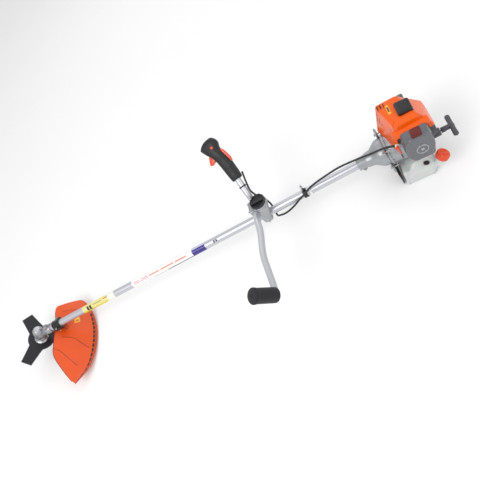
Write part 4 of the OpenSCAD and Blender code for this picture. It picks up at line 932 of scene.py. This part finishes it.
def build_cover(sizes):
    """The engine cover, a rounded hull inside planes with a lower rim that steps up, and the plug's cap."""
    m0, m1, m2, m3 = (8, 50, 64), (38, -60, 64), (160, -60, 64), (158, 50, 64)
    a, b, c = (34, 46, 148), (54, -52, 138), (134, -54, 130)
    d, e, f = (146, -26, 114), (128, 26, 112), (96, 48, 146)
    centre = np.array((88, -2, 84.0))
    planes = [flat_through(*p, centre) for p in (
        (m0, m1, a), (m1, m2, b), (m2, m3, d), (m3, m0, f), (a, b, f), (f, c, e))]
    planes.append((np.array([0, 0, -1.0]), 60.0))

    def rim(x, y):
        """The height of the cover's lower edge: smooth steps between levels."""
        soft = lambda v, at: 1 / (1 + np.exp(-(v - at) / 1.2))
        low = 46 + 0 * x
        low = low + (108 - low) * soft(-y, 46) * soft(x, 46)
        low = low + (110 - low) * soft(y, 40) * soft(x, 30) * soft(-x, -124)
        return low + (72 - low) * soft(x, 138)

    grid = rounded_hull(planes, centre, 240, 90, 26, rim, 2.6)
    piece("engine_cover_shell", [solid(on_engine(grid))], finish_of("cover_orange"),
          nodes=("engine_cover",), sharp=50)
    skirt = block((42, -69.5, 106), (150, -49, 117), 2.5, 5)
    skirt[..., 2] += np.clip((skirt[..., 1] + 60) / 10, -1, 1) * 3.5 - 1
    piece("cover_skirt", [solid(on_engine(skirt))], finish_of("cover_orange"))
    lid = eased([(82, -28), (126, -28), (126, 20), (82, 20)], 7, 6)
    top = slab(lid, 118, 152, 4.5, 7)
    top[..., 2] -= np.clip((top[..., 0] - 82) / 44, 0, 1) * 6 * (top[..., 2] > 140)
    crown = [share * top[-1] + (1 - share) * top[-1].mean(0) for share in (0.6, 0.2)]
    piece("plug_cap_shell", [solid(on_engine(np.concatenate([top, crown])))], finish_of("black_plastic"),
          nodes=("plug_cover",), sharp=40)
    x, y = np.meshgrid(np.linspace(60, 68, 4), np.linspace(-4, 28, 10), indexing="ij")
    level = 148 - (x - 34) * 0.035 - (46 - y) * 0.105 + 0.9
    tag = np.stack([x, y, level], -1)
    film_tag = np.concatenate([tag, tag[:, ::-1] - [0, 0, 1.2]], 1)
    mark = label_finish("finish_cover_sticker", ink(244, 190, 60), [(0.2, 0.8, 0.2, 0.8, ink(70, 60, 50))])
    piece("cover_sticker", [solid(on_engine(film_tag))], mark)


def filter_loop(outline, y, depth):
    """The filter's outline in X and Z with 9 mm corners, moved inwards by depth and stood at y."""
    flat = inset(eased(outline, 9.0, 7), depth)
    return np.stack([flat[:, 0], np.full(len(flat), y), flat[:, 1]], -1)


def build_filter(sizes):
    """The air filter: an outline that runs in straight lines from its back to its smaller face."""
    back = np.array([(62, 119), (138, 115), (141, 50), (128, -6), (62, -2), (50, 30), (54, 90)], float)
    face = np.array([(76, 116), (136, 110), (139, 64), (125, 12), (66, 17), (54, 46), (62, 100)], float)
    rows = [(-68, 0, 1.5), (-69, 0, 0.4), (-70.5, 0.04, 0)]
    rows += [(-70.5 - 31.5 * t, 0.04 + 0.8 * t, 0) for t in np.linspace(0.15, 1, 7)]
    rows += [(-104.6, 0.97, 0.4), (-105.6, 1, 1.2), (-106, 1, 2.4), (-106, 1, 4)]
    grid = [filter_loop(back + (face - back) * w, y, d) for y, w, d in rows]
    grid.append(grid[-1] * 0.5 + grid[-1].mean(0) * 0.5)
    piece("filter_case", [solid(on_engine(np.array(grid)))], finish_of("filter_grey"),
          nodes=("air_filter",), sharp=40)
    # painted shade: a dark red block fills the notch on the filter's top, standing in for the shade in it
    pocket = eased([(86, -103), (116, -103), (118, -72), (88, -70)], 6, 6)
    piece("filter_notch_shade", [solid(on_engine(slab(pocket, 104, 118.6, 1.0)))],
          plain_finish("finish_latch", ink(96, 22, 16), 0.35))
    ring = ring_of(16.5, 1.5, 56, 10, 0.7)
    disc = turned_round([(0, -1), (5.4, -1), (5.6, 0.2), (4.8, 0.8), (0, 0.8)], 40)
    stand = lambda g: on_engine(placed(np.stack([g[..., 0], -g[..., 2], g[..., 1]], -1), (98.8, -106.2, 57)))
    piece("filter_emblem", [hoop(stand(ring)), solid(stand(disc))], plain_finish(
        "finish_emblem", ink(170, 172, 176), 0.28, 0.8))
    lever = block((37.6, -82, 50), (43.2, -70, 80), 1.8)
    tip = block((36.6, -84, 74), (44, -70, 83), 2.4)
    piece("choke_tab", [solid(on_engine(lever)), solid(on_engine(tip))], finish_of("control_orange"), body="choke",
          nodes=("choke_lever",))


def build_tank(sizes):
    """The tank: three outlines joined by straight walls and hollowed under the engine, its neck and cap."""
    corners = (([(8, -71), (102, -75), (104, 50), (8, 50)], 12), ([(10, -74), (125, -81), (125, 52), (10, 52)], 16),
               ([(22, -58), (112, -58), (112, 46), (20, 46)], 16))
    low, mid, top = (eased(p, radius, 9) for p, radius in corners)
    low, mid, top = (np.array([bend(np.r_[p, p[:1]], k) for k in np.linspace(0, len(p), 145)[:-1]])
                     for p in (low, mid, top))
    rows = [(drawn_in(low, 0.7), -125), (drawn_in(low, 0.94), -125), (inset(low, 1.5), -124.3),
            (inset(low, 0.3), -122.6)]
    rows += [(low + (mid - low) * t, -121 + 42 * t) for t in np.linspace(0, 1, 10)]
    rows += [(mid, -77.5), (inset(mid, 0.8), -76)]
    rows += [(mid + (top - mid) * t, -76 + 22 * t) for t in np.linspace(0.12, 0.9, 7)]
    rows += [(inset(top, 1), -52.2), (inset(top, 3), -51.2), (drawn_in(top, 0.88), -51), (drawn_in(top, 0.7), -51)]
    grid = [np.c_[p, np.full(len(p), z)] for p, z in rows]
    grid.append(grid[-1] * 0.4 + grid[-1].mean(0) * 0.6)
    grid = np.array(grid)
    x, y, z = grid[..., 0], grid[..., 1], grid[..., 2]
    front = -66 + 15 / (1 + np.exp(-(x - 40) / 1.5))
    drum = np.where((x > 104) & (abs(y) < 60), -np.sqrt(np.maximum(60.0 ** 2 - y ** 2, 0)), 0)
    grid[..., 2] = np.minimum(np.minimum(z, front), drum)
    piece("tank_shell", [solid(on_engine(grid))], finish_of("tank_white"), nodes=("fuel_tank",),
          sharp=40)
    tilt = turn(y=40)
    neck = placed(turned_round([(0, -12), (13, -12), (14, -11), (14, 7), (15.5, 8), (15.5, 9.6), (12, 9.8), (12, 21),
                                (11, 22), (0, 22)], 48), (127, -80, -62), tilt)
    piece("tank_neck", [solid(on_engine(neck))], finish_of("tank_white"))
    knurl = lambda a, z: 0.55 * np.sign(np.sin(24 * a)) * (z > 12) * (z < 25)
    cap = [(0, 10), (20, 10), (20.4, 10.8), (20.4, 12), (20.2, 12.6), (20.2, 24.6), (20.2, 25.4), (19, 27.4),
           (17.6, 28), (14, 28), (13.4, 27.2), (0, 27)]
    bar = block((-14, -3.4, 26.6), (14, 3.4, 28), 0.6, 2)
    seat = lambda g: on_engine(placed(g, (127, -80, -62), tilt))
    piece("cap_shell", [solid(seat(turned_round(cap, 192, knurl))), solid(seat(bar))], finish_of("control_orange"),
          body="tank_cap", nodes=("fuel_cap",), sharp=40)
    plug = placed(turned_round([(0, -4), (9, -4), (9, 1.6), (7.6, 3), (4, 3.2), (0, 3.2)], 40) * [1, 0.75, 1],
                  (88, -72, -58), tilt @ turn(x=35))
    piece("tank_grommet", [solid(on_engine(plug))], finish_of("bush_rubber"))


def build_starter(sizes):
    """The starter: a turned bowl with grooves, the handle, and the rope blended between the two."""
    bowl = [(0, 0), (57, 0), (58, 1), (58, 15), (57.2, 17), (52, 20), (44, 24.6), (38, 27.4), (31, 30.5),
            (29.5, 31.5), (28.6, 36), (27, 44), (24, 48.6), (20, 50), (0, 50)]
    grooves = lambda a, x: -0.9 * (0.5 + 0.5 * np.sign(np.sin(30 * a))) * (x > 17.5) * (x < 29)
    shell = placed(along_x(turned_round(bowl, 180, grooves)), (108, 0, 0))
    boss = placed(along_x(turned_round([(0, 20), (13, 20), (13, 54.6), (12, 56), (0, 56)], 40)), (108, -5, -35))
    piece("recoil_bowl", [solid(on_engine(shell)), solid(on_engine(boss))], finish_of("starter_grey"),
          nodes=("recoil_starter",), sharp=40)
    spin = turn(x=-7)
    half = [(-45.5, 3.5, 0), (-43, 6.2, 0), (-38, 7, 0), (-12, 6.6, 0), (0, 7.6, 0), (12, 6.6, 0), (38, 7, 0),
            (43, 6.2, 0), (45.5, 3.5, 0)]
    t = np.linspace(0, 8, 65)
    run = bend(half, t)
    a = np.linspace(0, 2 * np.pi, 28, endpoint=False)[None]
    grip = np.stack([199 + 1.15 * run[:, 1:2] * np.cos(a), run[:, 0:1] + 0 * a, run[:, 1:2] * np.sin(a)], -1)
    seat = lambda g: on_engine(placed(g, (0, -5, -35), spin))
    neck = placed(along_x(turned_round([(0, 166), (8, 166), (9, 167.4), (9, 176), (8, 182), (8, 194), (0, 200)], 40)))
    piece("pull_handle", [solid(seat(grip)), solid(seat(neck))], finish_of("starter_grey"), body="pull",
          nodes=("starter_handle",), sharp=60)
    line = seat(swept([(138, 0, 0), (150, 0, 0), (160, 0, 0), (172, 0, 0)], 2.3, 16, 120))
    rope = piece("starter_rope", [solid(line)], finish_of("cable_black"), body=None)
    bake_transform(rope)


def build_rest(sizes):
    """Every CAD node that still shows takes its slot's finish."""
    for row in frame["record"]["subparts"]:
        node = frame["nodes"][row["node"]]
        if not node.hide_render:
            node.data.materials.clear()
            node.data.materials.append(finish_of(row["material_slot"]))


def area_light(name, at, to, power, size):
    """A square white lamp at one place, aimed at another."""
    data = bpy.data.lights.new(name, "AREA")
    data.energy, data.size = power, size
    lamp = bpy.data.objects.new(name, data)
    bpy.context.scene.collection.objects.link(lamp)
    lamp.location = at
    lamp.rotation_euler = (Vector(to) - Vector(at)).to_track_quat("-Z", "Y").to_euler()


def build_stage(look):
    """The floor, the light all round, the three lamps and the camera."""
    mesh = bpy.data.meshes.new("studio_floor")
    w, z = FLOOR_HALF, -FLOOR_DROP
    mesh.from_pydata([(-w, -w, z), (w, -w, z), (w, w, z), (-w, w, z)], [], [(0, 1, 2, 3)])
    floor = bpy.data.objects.new("studio_floor", mesh)
    bpy.context.scene.collection.objects.link(floor)
    paint = Recipe("finish_floor")
    paint.colour(paint.mix(paint.spots(3), (0.9, 0.9, 0.9), (0.93, 0.93, 0.93)))
    paint.set(Roughness=0.9)
    mesh.materials.append(paint.material)
    world = bpy.data.worlds.new("studio_light")
    world.use_nodes = True
    world.node_tree.nodes["Background"].inputs[0].default_value = (1, 1, 1, 1)
    world.node_tree.nodes["Background"].inputs[1].default_value = look.sky
    bpy.context.scene.world = world
    bpy.context.scene.view_settings.view_transform = "Standard"
    for name, at, share, size in LAMPS:
        area_light(name, at, LAMPS_AIM, look.key_power * share, size)
    data = bpy.data.cameras.new("view_camera")
    data.lens, data.sensor_width = look.lens, SENSOR_WIDTH
    data.clip_start, data.clip_end = 0.05, 60
    camera = bpy.data.objects.new("view_camera", data)
    camera.location = CAMERA_PLACE
    camera.rotation_euler = [math.radians(x) for x in CAMERA_ANGLES]
    bpy.context.scene.collection.objects.link(camera)
    bpy.context.scene.camera = camera


# ------------------------------------------------------------------ add-on

def length(name, text, default):
    """A property that holds a length in metres."""
    return bpy.props.FloatProperty(name=name, description=text, default=default, unit="LENGTH", min=0.0001)


class CUTTER_PG_sizes(bpy.types.PropertyGroup):
    """Sizes that the pieces are made from"""
    blade_reach: length("Blade Reach", "From the shaft's axis to a tooth's tip", 0.124)
    guard_thickness: length("Guard Thickness", "Wall of the guard", 0.003)
    tube_radius: length("Tube Radius", "Outer radius of the drive tube", 0.014)
    bar_radius: length("Bar Radius", "Outer radius of the handlebars", 0.011)
    cable_radius: length("Cable Radius", "Outer radius of the throttle cable", 0.0033)


class CUTTER_PG_look(bpy.types.PropertyGroup):
    """Light and camera of the studio"""
    lens: bpy.props.FloatProperty(name="Lens", description="Focal length in millimetres", default=40.83,
                                  unit="CAMERA")
    key_power: bpy.props.FloatProperty(name="Key Power", description="Power of the main lamp", default=38.0,
                                       unit="POWER")
    sky: bpy.props.FloatProperty(name="Sky", description="Strength of the light all round", default=0.78)


def step(idname, label, text, build, group="cutter_sizes"):
    """An operator that runs one build function with the scene's sizes."""
    def execute(self, context):
        build(getattr(context.scene, group))
        return {"FINISHED"}
    name = "CUTTER_OT_" + idname
    return type(name, (bpy.types.Operator,), {
        "__doc__": text, "bl_idname": "cutter." + idname, "bl_label": label, "bl_options": {"REGISTER", "UNDO"},
        "execute": execute})


STEPS = [
    step("guard", "Guard", "Builds the guard and its sticker", build_guard),
    step("blade", "Blade", "Builds the three-tooth blade and its flange", build_blade),
    step("collar", "Guard Collar", "Builds the collar between the guard and the tube", build_collar),
    step("gear_head", "Gear Head", "Builds the gear head's casting", build_gear_head),
    step("tube", "Drive Tube", "Builds the drive tube and its labels", build_tube),
    step("bars", "Handlebars", "Builds the two handlebars and the left grip", build_bars),
    step("throttle", "Throttle Grip", "Builds the throttle grip, its trigger, lever and switch", build_throttle),
    step("cable", "Throttle Cable", "Builds the throttle cable and its ties", build_cable),
    step("bracket", "Bracket", "Builds the handlebar bracket and its knob", build_bracket),
    step("clutch", "Clutch Housing", "Builds the clutch housing", build_clutch_housing),
    step("cover", "Engine Cover", "Builds the engine cover and the plug cover", build_cover),
    step("filter", "Air Filter", "Builds the air filter's case and the choke tab", build_filter),
    step("tank", "Fuel Tank", "Builds the fuel tank, its neck and cap", build_tank),
    step("starter", "Starter", "Builds the recoil starter's bowl and its handle", build_starter),
    step("rest", "Other Parts", "Gives every other part its finish", build_rest),
    step("stage", "Studio", "Builds the floor, lights and camera", build_stage, "cutter_look"),
]


class CUTTER_PT_panel(bpy.types.Panel):
    """Lists the steps that build the brush cutter"""
    bl_label = "Brush Cutter"
    bl_idname = "CUTTER_PT_panel"
    bl_space_type = "VIEW_3D"
    bl_region_type = "UI"
    bl_category = "Brush Cutter"

    def draw(self, context):
        for group in ("cutter_sizes", "cutter_look"):
            owner = getattr(context.scene, group)
            for name in owner.__annotations__:
                self.layout.prop(owner, name)
        for operator in STEPS:
            self.layout.operator(operator.bl_idname)


CLASSES = [CUTTER_PG_sizes, CUTTER_PG_look, *STEPS, CUTTER_PT_panel]


def register():
    """Makes the classes known to Blender and adds the two groups to the scene."""
    for cls in CLASSES:
        bpy.utils.register_class(cls)
    bpy.types.Scene.cutter_sizes = bpy.props.PointerProperty(type=CUTTER_PG_sizes)
    bpy.types.Scene.cutter_look = bpy.props.PointerProperty(type=CUTTER_PG_look)


def unregister():
    """Takes away what register() added."""
    del bpy.types.Scene.cutter_look
    del bpy.types.Scene.cutter_sizes
    for cls in reversed(CLASSES):
        bpy.utils.unregister_class(cls)


def main():
    """Runs every step in order and writes the CAD box and the finished model's box."""
    register()
    for operator in STEPS:
        getattr(bpy.ops.cutter, operator.bl_idname.split(".")[1])()


if __name__ == "__main__":
    main()
